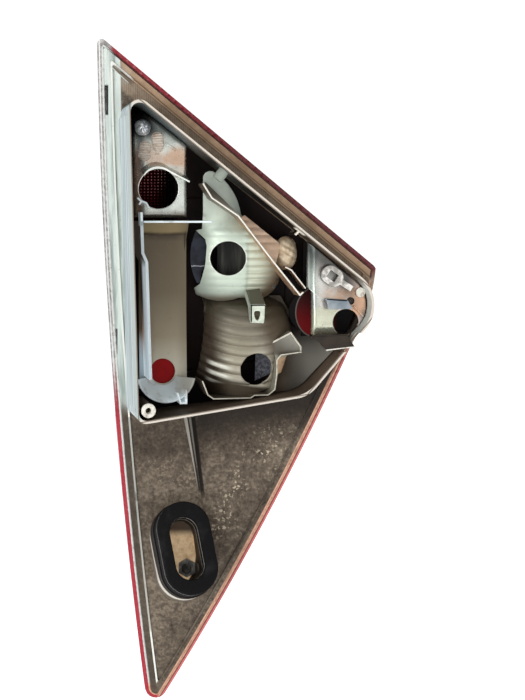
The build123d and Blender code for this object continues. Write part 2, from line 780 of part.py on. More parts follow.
with BuildPart() as reversing_reflector:
    add(reversing_bowl)
    add(prism(rim_outline(wall + seat), 0, lens_reach), mode=Mode.INTERSECT)
    add(reversing_plate.part)
    add(strip(skirt_line, skirt_width, 20, 60))
    add(strip(ledge_line, skirt_width, ledge_depth, 40))
    add(prism(polygon([*ledge_line, (104.0, 34.8)]), ledge_depth + 1, ledge_depth + 1 + reflector_wall))
    split(bisect_by=weld_plane.offset(flange_standoff + reflector_wall), keep=Keep.BOTTOM)
    add(prism(disc(reversing_hole, reversing_bore), 0, 46), mode=Mode.SUBTRACT)
reversing_reflector.part.label = "reversing_reflector"
export_step(reversing_reflector.part, "parts/reversing_reflector.step")

with BuildPart() as reversing_optic:
    reversing_face = polygon([(92.0, 16.0), (112.0, 26.0), (112.0, 70.0), (92.0, 70.0)])
    add(slab(reversing_face, optic_standoff, optic_standoff + optic_thick))
reversing_optic.part.label = "reversing_optic"
export_step(reversing_optic.part, "parts/reversing_optic.step")

# Corner reflector: plate across the nose of the chamber, bowl behind it, tab, skirt and small ribs
nose_x = rim_corners[1][0]
nose_top = ceiling(corner_left) + wall
corner_window = polygon(
    [(corner_left, corner_bottom), (nose_x, corner_bottom), (nose_x, nose_top), (corner_left, nose_top)]
)
corner_face = rim_outline(wall + seat) & corner_window
corner_core = rim_outline(wall + seat) & corner_window & lamp_outline(opening_inset + seat)
corner_back = corner_depth + reflector_wall
tab_line = [(140.2, 82.6), (157.5, 81.2)]
tab_face = [(140.2, 83.4), (157.5, 82.0), (162.0, 74.8), (141.9, 75.0)]
corner_skirt = [(128.6, 54.3), (139.3, 43.4), (162.2, 45.7), (156.1, 55.0)]

with BuildPart() as corner_bowl:
    add(prism(corner_core, corner_back, lens_reach / 2))
    split(bisect_by=optic_plane, keep=Keep.BOTTOM)
    bowl_ends = corner_bowl.faces().sort_by(Axis.Y)
    offset(amount=-reflector_wall, openings=[bowl_ends[0], bowl_ends[-1]])

with BuildPart() as corner_reflector:
    add(prism(corner_face, corner_depth, corner_back))
    add(corner_bowl.part)
    add(prism(polygon(tab_face), 7.0, 8.6))
    add(strip(tab_line, 1.6, 7.0, corner_depth + 1))
    add(prism(polygon(corner_skirt), 3.0, 4.8))
    add(strip([corner_skirt[0], corner_skirt[3]], 1.6, 3.0, corner_depth + 1))
    add(strip([(163.3, 77.0), (171.0, 68.6)], 1.2, 9.5, corner_depth + 1))
    add(prism(disc((169.0, 87.5), 8.0) & corner_face, corner_depth - 1.6, corner_depth + 1))
    add(prism(disc((161.4, 80.8), 5.0), corner_depth - 4, corner_back + 1), mode=Mode.SUBTRACT)
    add(prism(disc(corner_hole, corner_bore), 6, corner_back + 8), mode=Mode.SUBTRACT)
corner_reflector.part.label = "corner_reflector"
export_step(corner_reflector.part, "parts/corner_reflector.step")

# Dark red plate in front of the corner bowl, which shows as a half-moon beside it
with BuildPart() as corner_optic:
    add(slab(corner_core + disc((134.0, 72.0), 33.0), optic_standoff, optic_standoff + optic_thick))
corner_optic.part.label = "corner_optic"
export_step(corner_optic.part, "parts/corner_optic.step")

# Spring clip of bent sheet metal on the corner reflector
with BuildPart() as corner_clip:
    with BuildSketch(back_view(corner_depth - 3)):
        with Locations((146.0, 100.5)):
            SlotOverall(18.0, 14.0, rotation=-35)
            Rectangle(8.0, 6.5, rotation=-35, mode=Mode.SUBTRACT)
    extrude(amount=-3)
    with BuildSketch(back_view(corner_depth - 1.5)):
        with Locations((156.0, 94.0)):
            Rectangle(14.0, 4.6, rotation=-32)
    extrude(amount=-1.5)
corner_clip.part.label = "corner_clip"
export_step(corner_clip.part, "parts/corner_clip.step")
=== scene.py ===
"""Looks of a triangular rear lamp cluster, seen from its open back.

The frame is the CAD frame: +X to the right in the photograph, +Y out through the lens, +Z up.
Shapes are worked out in millimetres and put into the meshes in metres.
"""

import bpy
import numpy as np
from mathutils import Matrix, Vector


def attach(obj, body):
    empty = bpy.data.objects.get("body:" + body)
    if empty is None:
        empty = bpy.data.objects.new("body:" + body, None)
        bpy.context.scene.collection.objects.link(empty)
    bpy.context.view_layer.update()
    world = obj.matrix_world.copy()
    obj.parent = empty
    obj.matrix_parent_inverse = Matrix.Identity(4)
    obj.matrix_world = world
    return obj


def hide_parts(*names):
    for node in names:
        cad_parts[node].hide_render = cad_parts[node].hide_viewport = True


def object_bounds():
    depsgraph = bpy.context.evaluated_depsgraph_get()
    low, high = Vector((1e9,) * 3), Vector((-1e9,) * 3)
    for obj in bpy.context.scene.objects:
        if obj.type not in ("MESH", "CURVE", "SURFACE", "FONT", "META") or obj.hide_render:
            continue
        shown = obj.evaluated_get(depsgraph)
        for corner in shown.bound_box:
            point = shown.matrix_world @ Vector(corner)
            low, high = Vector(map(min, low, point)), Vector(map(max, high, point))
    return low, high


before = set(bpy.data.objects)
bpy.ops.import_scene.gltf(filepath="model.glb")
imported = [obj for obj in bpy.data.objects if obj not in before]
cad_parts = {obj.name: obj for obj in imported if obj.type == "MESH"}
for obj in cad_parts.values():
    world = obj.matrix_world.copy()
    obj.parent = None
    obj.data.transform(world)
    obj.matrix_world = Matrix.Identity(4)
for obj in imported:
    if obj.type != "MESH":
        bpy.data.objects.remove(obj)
cad_low, cad_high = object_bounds()

MM = 0.001

# Camera of the photograph
CAMERA_PLACE = (-156.2, -1149.3, 147.5)
CAMERA_TARGET = (92.36, 20.0, 42.91)
FOCAL_PIXELS = 1538.46
FRAME_HEIGHT = 700
SENSOR = 36.0

# Weld plane of the lens: y = WELD[0] + WELD[1] x + WELD[2] z
WELD = (62.53, -0.2165, -0.0852)
WELD_NORMAL_Y = 0.974

# Chamber rim and lamp outline, as (x, z)
RIM = [(-14.7, 243.3), (189.7, 81.6), (124.8, 7.9), (-9.3, -11.1)]
RIM_ROUNDS = [9.0, 28.0, 25.0, 8.0]
WALL = 2.2
SEAT = 0.3
LAMP_TOP = (-31.6, 286.0)
LAMP_RIGHT = (182.0, 107.0)
LAMP_KNEE = (164.5, 44.5)
LAMP_BOTTOM = (10.0, -266.0)
NOSE_BOW = (177.5, 78.0)
LOWER_BOW = (95.0, -109.0)
LEFT_BOW = (-19.3, 15.0)
LOWER_BOW_HEIGHT = 6.2
LEFT_BOW_HEIGHT = 8.1
BOTTOM_ROUND = 8.5
BOTTOM_REACH = 26.0
TOP_ROUND = 3.0

# Lens shell
LENS_CENTRE = (70.0, 15.0)
LENS_HEIGHT = 26.2
LENS_SWEEP = 600.0
LENS_RISE = 3500.0
LENS_WALL = 2.6
FOOT_THICK = 3.0
FOOT_WIDTH = 6.4
BEAD_INSET = 3.8
WINDOW = [(38.0, 22.0), (118.0, 34.0), (118.0, 108.0), (52.0, 162.0), (38.0, 162.0)]
WINDOW_ROUND = 5.0
WINDOW_MIDDLE = (75.0, 90.0)

# Bulb holes: centre as (x, z) and radius
TAIL_HOLE, TAIL_BORE = (12.1, 167.7), 15.0
INDICATOR_HOLE, INDICATOR_BORE = (67.0, 114.2), 13.25
REVERSING_HOLE, REVERSING_BORE = (88.7, 27.4), 12.75
CORNER_HOLE, CORNER_BORE = (157.7, 64.1), 10.25
SIDE_HOLE, SIDE_BORE = (17.3, 25.6), 9.75

# Oval boss with its ring
BOSS_CENTRE = np.array([33.5, 24.0, -112.0])
BOSS_LEAN = np.radians(18.0)
BOSS_TURN = np.radians(8.0)
RING_LENGTH, RING_WIDTH = 74.0, 42.5
RING_HOLE_LENGTH, RING_HOLE_WIDTH = 50.0, 23.5
RING_THICK = 18.0

# Reversing bowl: a dome about a leaning axis, with flutes that sag away from its middle
BOWL_LEAN = float(np.radians(14.0))
BOWL_X, BOWL_Y, BOWL_Z = 85.0, 62.0, 43.0
BOWL_GIRTH = 40.0
BOWL_REACH_UP, BOWL_REACH_DOWN = 56.0, 73.0
BOWL_SAG, BOWL_SAG_X = 0.003, 84.0
BOWL_PITCH = 7.8
BOWL_FOOT_X, BOWL_FOOT_SLOPE = 88.0, 0.2
BOWL_LENS_GAP = 4.0

# Indicator bowl: a barrel about an upright axis with level flutes, and what stands beside it
BARREL_X, BARREL_Y, BARREL_Z = 80.0, 68.0, 112.0
BARREL_GIRTH = 43.0
BARREL_REACH_UP, BARREL_REACH_DOWN = 90.0, 44.0
FLUTE_PITCH = 5.8
EGG_CENTRE = (113.0, 118.0)
CHEEK_CORNER = (74.0, 145.5)
KEYHOLE = np.array([86.6, 71.2])

# Other reflectors
TAIL_DEPTH = 24.0
STAKE_RADIUS, STAKE_HEIGHT, STAKE_Z = 6.3, 5.7, 214.2
PAD_LENGTH, PAD_WIDTH = 15.5, 9.6
PILLOW_WIDTH, PILLOW_HEIGHT = 2.6, 2.4
CREASE = 132.0
COLUMN_DEPTH = 44.0
COLUMN_FOOT = 12.0
CORNER_DEPTH = 13.0
CORNER_LEFT = 127.5
CORNER_BOTTOM = 52.0
CORNER_SPOT, CORNER_SPOT_RADIUS = (169.0, 87.5), 3.8
SHELF_TOP = 143.5

BLACK = (0.0, 0.0, 0.0)
VIEWER = (0.0, -1.0, 0.0)


def srgb(red, green, blue):
    """Linear colour of a screen colour given from 0 to 255."""
    share = np.array([red, green, blue]) / 255.0
    return tuple(np.where(share <= 0.04045, share / 12.92, ((share + 0.055) / 1.055) ** 2.4).tolist())


def weld_depth(x, z):
    """Depth of the weld plane at a place seen from the back."""
    return WELD[0] + WELD[1] * x + WELD[2] * z


def smooth(low, high, value):
    """Smooth step: 0 at low, 1 at high, and 3t^2 - 2t^3 between them."""
    t = np.clip((value - low) / (high - low), 0.0, 1.0)
    return t * t * (3.0 - 2.0 * t)


def arc_points(first, middle, last, count):
    """Points on the circle through three points: centre from the two chord bisectors, angle in even steps."""
    a, b, c = (np.array(p, float) for p in (first, middle, last))
    chords = 2.0 * np.array([b - a, c - a])
    centre = np.linalg.solve(chords, np.array([b @ b - a @ a, c @ c - a @ a]))
    angles = np.unwrap([np.arctan2(*(p - centre)[::-1]) for p in (a, b, c)])
    steps = np.linspace(angles[0], angles[2], count)
    radius = np.linalg.norm(a - centre)
    return centre + radius * np.stack([np.cos(steps), np.sin(steps)], axis=1)


def corner_arc(before, corner, after, radius, count=9):
    """Points of the arc that rounds a corner: its ends lie radius / tan(half the angle) from the corner."""
    corner = np.array(corner, float)
    first = np.array(before, float) - corner
    second = np.array(after, float) - corner
    first /= np.linalg.norm(first)
    second /= np.linalg.norm(second)
    half = np.arccos(np.clip(first @ second, -1.0, 1.0)) / 2.0
    reach = radius / np.tan(half)
    middle = first + second
    middle *= (radius / np.sin(half) - radius) / np.linalg.norm(middle)
    return arc_points(corner + first * reach, corner + middle, corner + second * reach, count)


def rounded(corners, rounds):
    """Closed outline with each corner rounded by its own radius."""
    count = len(corners)
    arcs = [corner_arc(corners[k - 1], corners[k], corners[(k + 1) % count], rounds[k]) for k in range(count)]
    return np.concatenate(arcs)


def inset_corners(corners, inset):
    """Corners of a clockwise outline whose sides are moved inwards: each is where two moved sides cross."""
    corners = np.asarray(corners, float)
    run = np.roll(corners, -1, axis=0) - corners
    run /= np.linalg.norm(run, axis=1)[:, None]
    inward = np.stack([run[:, 1], -run[:, 0]], axis=1)
    before = np.roll(inward, 1, axis=0)
    middle = before + inward
    return corners + inset * middle / np.sum(middle * inward, axis=1)[:, None]


def rim_outline(inset):
    """Rounded outline of the chamber rim, moved in by inset."""
    return rounded(inset_corners(RIM, inset), [max(r - inset, 1.0) for r in RIM_ROUNDS])


def lamp_outline(count=96):
    """Lamp outline: straight top side, then the bowed nose, lower and left sides, with a round bottom tip."""
    bottom = np.array(LAMP_BOTTOM)
    lower = arc_points(LAMP_KNEE, LOWER_BOW, LAMP_BOTTOM, count)
    left = arc_points(LAMP_BOTTOM, LEFT_BOW, LAMP_TOP, count)
    lower = lower[np.linalg.norm(lower - bottom, axis=1) > BOTTOM_REACH]
    left = left[np.linalg.norm(left - bottom, axis=1) > BOTTOM_REACH]
    tip = corner_arc(lower[-1], LAMP_BOTTOM, left[0], BOTTOM_ROUND)
    crown = corner_arc(left[-2], LAMP_TOP, LAMP_RIGHT, TOP_ROUND)
    nose = arc_points(LAMP_RIGHT, NOSE_BOW, LAMP_KNEE, count // 4)
    return np.concatenate([crown, nose, lower[1:], tip, left[:-1]])


def even_steps(path, count):
    """Points at even lengths along a closed outline."""
    closed = np.concatenate([path, path[:1]])
    length = np.concatenate([[0], np.cumsum(np.linalg.norm(np.diff(closed, axis=0), axis=1))])
    steps = np.linspace(0, length[-1], count, endpoint=False)
    return np.stack([np.interp(steps, length, closed[:, k]) for k in range(2)], axis=1)


def inset_outline(inset, count=900):
    """Lamp outline moved inwards along its normals, without the points that come nearer than inset."""
    path = even_steps(lamp_outline(), count)
    run = np.roll(path, -1, axis=0) - np.roll(path, 1, axis=0)
    run /= np.linalg.norm(run, axis=1)[:, None]
    moved = path + inset * np.stack([run[:, 1], -run[:, 0]], axis=1)
    gap = np.linalg.norm(moved[:, None, :] - path[None, :, :], axis=2).min(axis=1)
    return moved[gap >= 0.97 * inset]


def into_mesh(name, points, wrap=(False, False), toward=None, caps=(), sharp=35.0):
    """Mesh of a grid of points: quads between neighbours, wound so that they face toward, or outwards.

    Each row named in caps, 0 for the first and -1 for the last, is closed by one face.
    """
    rows, cols = points.shape[:2]
    index = np.arange(rows * cols).reshape(rows, cols)
    if wrap[0]:
        index = np.concatenate([index, index[:1]])
    if wrap[1]:
        index = np.concatenate([index, index[:, :1]], axis=1)
    quads = np.stack([index[:-1, :-1], index[1:, :-1], index[1:, 1:], index[:-1, 1:]], axis=-1).reshape(-1, 4)
    flat = points.reshape(-1, 3)
    a, b, c, d = (flat[quads[:, k]] for k in range(4))
    normals = np.cross(c - a, d - b)
    facing = a + b + c + d - 4.0 * flat.mean(axis=0) if toward is None else np.array(toward, float)
    if np.sum(normals * facing) < 0:
        quads = quads[:, ::-1]
    faces = quads.tolist()
    for row in caps:
        end = index[row, :cols]
        ring = flat[end]
        spokes = ring - ring.mean(axis=0)
        normal = np.cross(spokes, np.roll(spokes, -1, axis=0)).sum(axis=0)
        outward = ring.mean(axis=0) - flat[index[1 if row == 0 else -2, :cols]].mean(axis=0)
        direction = outward if toward is None else np.array(toward, float)
        faces.append((end if normal @ direction > 0 else end[::-1]).tolist())
    mesh = bpy.data.meshes.new(name)
    mesh.from_pydata((flat * MM).tolist(), [], faces)
    mesh.polygons.foreach_set("use_smooth", np.ones(len(mesh.polygons), bool))
    mesh.set_sharp_from_angle(angle=np.radians(sharp))
    piece = bpy.data.objects.new(name, mesh)
    bpy.context.scene.collection.objects.link(piece)
    return piece


def thicken(piece, thickness, inside=None):
    """Gives a sheet a wall behind its face, in millimetres, with its own finish inside where given."""
    solidify = piece.modifiers.new("wall", "SOLIDIFY")
    solidify.thickness = thickness * MM
    solidify.offset = -1.0
    if inside:
        piece.data.materials.append(inside.material)
        solidify.material_offset = 1
    return piece


def soften(piece, width):
    """Rounds the edges of a piece, in millimetres."""
    bevel = piece.modifiers.new("edge", "BEVEL")
    bevel.width = width * MM
    bevel.segments = 2
    bevel.limit_method = "ANGLE"
    return piece


def dress(node, pieces, finish=None, soft=0.0):
    """Puts pieces on the lamp's body in place of a node, with its finish or their own.

    Their edges are rounded by soft, in millimetres, where given.
    """
    for piece in pieces:
        if soft:
            soften(piece, soft)
        piece.data.materials.append((finish or finishes[node]).material)
        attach(piece, "root")
        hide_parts(node)


def ray_reach(centre, corners, angles):
    """Distance from centre to a closed outline along each angle: where the ray first crosses an edge."""
    corners = np.asarray(corners, float) - centre
    edge = np.roll(corners, -1, axis=0) - corners
    ray = np.stack([np.cos(angles), np.sin(angles)], axis=1)
    cross = ray[:, None, 0] * edge[None, :, 1] - ray[:, None, 1] * edge[None, :, 0]
    cross = np.where(np.abs(cross) < 1e-9, 1e-9, cross)
    along = (corners[None, :, 0] * edge[None, :, 1] - corners[None, :, 1] * edge[None, :, 0]) / cross
    share = (corners[None, :, 0] * ray[:, None, 1] - corners[None, :, 1] * ray[:, None, 0]) / cross
    hit = (along > 0) & (share > -1e-6) & (share < 1 + 1e-6)
    return np.where(hit, along, np.inf).min(axis=1)


def ray_angles(centre, corners, count):
    """Even angles round a centre, with the angle of each corner added."""
    offset = np.asarray(corners, float) - centre
    even = np.linspace(-np.pi, np.pi, count, endpoint=False)
    return np.unique(np.round(np.concatenate([even, np.arctan2(offset[:, 1], offset[:, 0])]), 4))


def round_hole(name, centre, bore, outlines, height, turns=240, rings=60, lip=0.8, roll=0.0, back=None):
    """Sheet round a hole: on each ray from the hole's edge to the nearest outline, y = height(x, z).

    The first rings turn the edge of the hole inwards: at turn p the radius is bore + lip (1 - sin p) and
    the depth grows by lip (1 - cos p). The outer edge falls back as a quarter circle of radius roll, and
    a side wall follows it to the depth back(x, z) where given.
    """
    centre = np.array(centre, float)
    angles = ray_angles(centre, np.concatenate([np.asarray(o, float) for o in outlines]), turns)
    reach = np.min([ray_reach(centre, outline, angles) for outline in outlines], axis=0)[:, None]
    turn = np.linspace(np.pi / 2, 0, 5)[None, :-1]
    share = np.linspace(0, 1, rings)[None, :]
    edge = bore + lip
    inner = edge - lip * np.sin(turn) + 0 * reach
    outer = edge + share * np.maximum(reach - edge, 0.05)
    radius = np.concatenate([inner, outer], axis=1)
    sink = np.concatenate([lip * (1 - np.cos(turn)) + 0 * reach, 0 * outer], axis=1)
    if roll:
        near = np.clip(1 - (reach - radius) / roll, 0, 1)
        sink = sink + roll * (1 - np.sqrt(1 - near**2))
    x = centre[0] + radius * np.cos(angles)[:, None]
    z = centre[1] + radius * np.sin(angles)[:, None]
    points = np.stack([x, height(x, z) + sink, z], axis=-1)
    if back:
        wall = points[:, -1:].copy()
        wall[..., 1] = back(wall[..., 0], wall[..., 2])
        points = np.concatenate([points, wall], axis=1)
    return into_mesh(name, points, wrap=(True, False), toward=VIEWER, sharp=50)


def patch(name, centre, corners, height, turns=120, rings=24, toward=VIEWER):
    """Sheet without a hole: rays from a centre to the outline, y = height(x, z), closed at the centre."""
    centre = np.array(centre, float)
    angles = ray_angles(centre, corners, turns)
    reach = ray_reach(centre, corners, angles)[None, :]
    radius = np.linspace(0.02, 1, rings)[:, None] * reach
    x = centre[0] + radius * np.cos(angles)[None, :]
    z = centre[1] + radius * np.sin(angles)[None, :]
    points = np.stack([x, height(x, z), z], axis=-1)
    return into_mesh(name, points, wrap=(False, True), toward=toward, caps=(0,), sharp=50)


def wall_strip(name, path, thickness, near, far):
    """Rib along a line of (x, z) points: a box section between two depths, mitred at each point."""
    path = np.asarray(path, float)
    near = np.broadcast_to(np.asarray(near, float), len(path))
    far = np.broadcast_to(np.asarray(far, float), len(path))
    run = np.diff(path, axis=0)
    run /= np.linalg.norm(run, axis=1)[:, None]
    side = np.stack([-run[:, 1], run[:, 0]], axis=1)
    before = np.concatenate([side[:1], side])
    after = np.concatenate([side, side[-1:]])
    mitre = before + after
    mitre /= np.sum(mitre * before, axis=1)[:, None]
    mitre *= thickness / 2
    left, right = path + mitre, path - mitre
    section = [(left, near), (right, near), (right, far), (left, far)]
    points = np.stack([np.stack([p[:, 0], y, p[:, 1]], axis=1) for p, y in section], axis=1)
    return into_mesh(name, points, wrap=(False, True), caps=(0, -1))


def slab(name, face, back):
    """Plate between two outlines with as many points each: its sides join them and both ends are closed."""
    points = np.stack([np.asarray(face, float), np.asarray(back, float)])
    return into_mesh(name, points, wrap=(False, True), caps=(0, -1))


def at_depth(outline, depth):
    """Points of an (x, z) outline at a depth."""
    outline = np.asarray(outline, float)
    return np.stack([outline[:, 0], np.broadcast_to(depth, len(outline)), outline[:, 1]], axis=1)


def plate(name, outline, near, far):
    """Plate of an (x, z) outline between two depths."""
    return slab(name, at_depth(outline, near), at_depth(outline, far))


def between_lines(name, first, last, rows=6):
    """Sheet of straight lines from one line of points to another with as many."""
    share = np.linspace(0, 1, rows)[:, None, None]
    points = (1 - share) * np.asarray(first, float)[None] + share * np.asarray(last, float)[None]
    return into_mesh(name, points, toward=(0, -1, 1))


def stadium(length, width, count):
    """Points round a stadium in its own plane: half circles of half the width on a straight of the rest."""
    t = (np.arange(count) + 0.5) * 2 * np.pi / count
    straight = (length - width) / 2
    return np.stack([width / 2 * np.cos(t), width / 2 * np.sin(t) + straight * np.sign(np.sin(t))], axis=1)


def turned(flat, centre, degrees):
    """Points of a plane, turned and moved to a centre."""
    c, s = np.cos(np.radians(degrees)), np.sin(np.radians(degrees))
    return np.asarray(centre) + flat @ np.array([[c, s], [-s, c]])


def on_ring(flat, height):
    """Points of the boss ring's own plane, turned and leaned into place, at heights above its top face."""
    turned_x = flat[..., 0] * np.cos(BOSS_TURN) - flat[..., 1] * np.sin(BOSS_TURN)
    turned_z = flat[..., 0] * np.sin(BOSS_TURN) + flat[..., 1] * np.cos(BOSS_TURN)
    y = turned_z * np.sin(BOSS_LEAN) - height * np.cos(BOSS_LEAN)
    z = turned_z * np.cos(BOSS_LEAN) + height * np.sin(BOSS_LEAN)
    return BOSS_CENTRE + np.stack([turned_x, y, z], axis=-1)


def turned_ring(name, centre, section, turns=64):
    """Ring about an axis along Y: a closed section of (radius, depth) points carried round a centre."""
    t = np.linspace(0, 2 * np.pi, turns, endpoint=False)[:, None]
    radius, depth = np.asarray(section, float).T
    x = centre[0] + radius[None, :] * np.cos(t)
    z = centre[1] + radius[None, :] * np.sin(t)
    points = np.stack([x, depth[None, :] + 0 * t, z], axis=-1)
    return into_mesh(name, points, wrap=(True, True), sharp=50)


class Value:
    """A socket of a node tree. Arithmetic on it adds Math nodes."""

    def __init__(self, tree, socket):
        self.tree = tree
        self.socket = socket

    def math(self, operation, *others):
        return self.tree.node("ShaderNodeMath", {"operation": operation}, dict(enumerate((self, *others))))

    def __add__(self, other):
        return self.math("ADD", other)

    __radd__ = __add__

    def __sub__(self, other):
        return self.math("SUBTRACT", other)

    def __rsub__(self, other):
        return self.tree.node("ShaderNodeMath", {"operation": "SUBTRACT"}, {0: other, 1: self})

    def __mul__(self, other):
        return self.math("MULTIPLY", other)

    __rmul__ = __mul__

    def __truediv__(self, other):
        return self.math("DIVIDE", other)

    def least(self, other):
        return self.math("MINIMUM", other)

    def above(self, low, high):
        """Smooth step from 0 at low to 1 at high."""
        settings = {"interpolation_type": "SMOOTHSTEP"}
        return self.tree.node("ShaderNodeMapRange", settings, {0: self, 1: low, 2: high, 3: 0.0, 4: 1.0})

    def below(self, low, high):
        """Smooth step from 1 at low to 0 at high."""
        return 1 - self.above(low, high)

    def between(self, low, high, soft):
        """1 between two values, fading over soft at both ends."""
        return self.above(low - soft, low + soft) * self.below(high - soft, high + soft)

    def shade(self, low, high, first, last):
        """Screen colour that runs smoothly from first at low to last at high."""
        return self.above(low, high).blend(srgb(*first), srgb(*last))

    def paint(self, mask, red, green, blue):
        """This colour with a screen colour laid over it where mask is 1."""
        return mask.blend(self, srgb(red, green, blue))

    def blend(self, colour, other):
        """Colour mix with this value as the share of other."""
        return self.tree.node("ShaderNodeMix", {"data_type": "RGBA"}, {0: self, 6: colour, 7: other}, out=2)


class Tree:
    """A node tree, with one method that adds any node to it."""

    def __init__(self, nodes):
        self.nodes = nodes

    def put(self, socket, value):
        """Links a Value to a socket, or sets its constant."""
        if isinstance(value, Value):
            self.nodes.links.new(value.socket, socket)
        elif isinstance(value, tuple) and len(value) == 3 and len(socket.default_value) == 4:
            socket.default_value = (*value, 1.0)
        else:
            socket.default_value = value

    def node(self, kind, settings=None, sockets=None, out=0):
        """Adds a node of a type: its settings first, then the values or links of its sockets."""
        node = self.nodes.nodes.new(kind)
        for name, value in (settings or {}).items():
            setattr(node, name, value)
        for name, value in (sockets or {}).items():
            self.put(node.inputs[name], value)
        return Value(self, node.outputs[out])

    def ramp(self, value, stops):
        """Colour of a value on a ramp of (position, colour) stops."""
        result = self.node("ShaderNodeValToRGB", None, {0: value})
        elements = result.socket.node.color_ramp.elements
        while len(elements) < len(stops):
            elements.new(0.5)
        for element, (position, colour) in zip(elements, stops):
            element.position = position
            element.color = (*colour, 1.0)
        return result

    def along(self, direction, axis):
        """Dot product of a direction and an axis."""
        sockets = {0: direction, 1: axis}
        return self.node("ShaderNodeVectorMath", {"operation": "DOT_PRODUCT"}, sockets, out="Value")


class Finish(Tree):
    """A material with one shader, worked out from the place on the object in millimetres."""

    def __init__(self, name, **shader):
        self.material = bpy.data.materials.new(name)
        self.material.use_nodes = True
        super().__init__(self.material.node_tree)
        self.shader = self.nodes.nodes["Principled BSDF"]
        for socket, value in shader.items():
            title = socket.replace("_", " ").title().replace("Ior", "IOR")
            self.shader.inputs[title].default_value = value
        self.place = self.node("ShaderNodeTexCoord", out="Object")
        axes = [self.node("ShaderNodeSeparateXYZ", None, {0: self.place}, out=k) for k in range(3)]
        self.x, self.y, self.z = (axis * 1000.0 for axis in axes)

    def noise(self, scale, detail=3.0, rough=0.55, stretch=(1.0, 1.0, 1.0), shift=(0.0, 0.0, 0.0)):
        """Noise on object coordinates, per metre, stretched along an axis where given."""
        mapping = {"Vector": self.place, "Scale": stretch, "Location": shift}
        vector = self.node("ShaderNodeMapping", None, mapping)
        sockets = {"Vector": vector, "Scale": scale, "Detail": detail, "Roughness": rough}
        return self.node("ShaderNodeTexNoise", None, sockets)

    def cells(self, scale):
        """Distance pattern of cells on object coordinates, per metre."""
        sockets = {"Vector": self.place, "Scale": scale}
        return self.node("ShaderNodeTexVoronoi", None, sockets, out="Distance")

    def wave(self, direction, scale):
        """Bands of a sine wave along an axis of the object, per metre."""
        sockets = {"Vector": self.place, "Scale": scale}
        return self.node("ShaderNodeTexWave", {"bands_direction": direction}, sockets)

    def facing(self, axis):
        """How far the surface faces along an axis, from -1 to 1."""
        return self.along(self.node("ShaderNodeTexCoord", out="Normal"), axis)

    def inside_of(self, first, second):
        """Distance of a place from the line through two (x, z) points, to the right of its direction."""
        run = np.array(second) - np.array(first)
        inward = np.array([run[1], -run[0]]) / np.linalg.norm(run)
        return self.x * float(inward[0]) + self.z * float(inward[1]) - float(inward @ np.array(first))

    def inside_bow(self, first, second, bow):
        """Distance inside a bowed side of the lamp: from its chord, plus a parabola as high as the bow."""
        share = (self.z - (first[1] + second[1]) / 2) / (abs(second[1] - first[1]) / 2)
        return self.inside_of(first, second) + bow * (1 - share * share)

    def from_left(self):
        """Distance inside the bowed left side of the lamp."""
        return self.inside_bow(LAMP_BOTTOM, LAMP_TOP, LEFT_BOW_HEIGHT)

    def from_right(self):
        """Distance inside the bowed lower right side of the lamp."""
        return self.inside_bow(LAMP_KNEE, LAMP_BOTTOM, LOWER_BOW_HEIGHT)

    def from_top(self):
        """Distance inside the straight upper side of the lamp."""
        return self.inside_of(LAMP_TOP, LAMP_RIGHT)

    def oval(self, x, z, width, height):
        """Square of the distance from an (x, z) centre, as a share of an oval's half axes: 1 on the oval."""
        across = (self.x - x) / width
        along = (self.z - z) / height
        return across * across + along * along

    def spot(self, x, z, width, height):
        """1 in the middle of an oval, falling to 0 at its edge."""
        return self.oval(x, z, width, height).below(0.25, 1.0)

    def round_edge(self, centre, bore, width):
        """1 on the narrow ring round a hole, given by its (x, z) centre and radius."""
        distance = self.oval(*centre, 1.0, 1.0).math("SQRT")
        return distance.between(bore - 1.0, bore + width, 0.3)

    def above_weld(self):
        """Height of a place behind the weld plane, along Y."""
        return WELD[0] + WELD[1] * self.x + WELD[2] * self.z - self.y

    def ring_height(self):
        """Height of a place above the top face of the boss ring, along the ring's own axis."""
        lean_y, lean_z = float(np.cos(BOSS_LEAN)), float(np.sin(BOSS_LEAN))
        return (float(BOSS_CENTRE[1]) - self.y) * lean_y + (self.z - float(BOSS_CENTRE[2])) * lean_z

    def done(self, colour, rough, bump=None, metal=None, glow=None, coat=None):
        """Ends a finish with its colour and roughness, and with bump, metal, glow and coat where given.

        bump holds a height, a strength and a distance in millimetres.
        """
        values = {"Base Color": colour, "Roughness": rough}
        values.update({"Metallic": metal, "Emission Color": glow, "Coat Weight": coat})
        if bump:
            height, strength, distance = bump
            sockets = {"Height": height, "Strength": strength, "Distance": distance * MM}
            values["Normal"] = self.node("ShaderNodeBump", None, sockets)
        for socket, value in values.items():
            if value is not None:
                self.put(self.shader.inputs[socket], value)
        return self


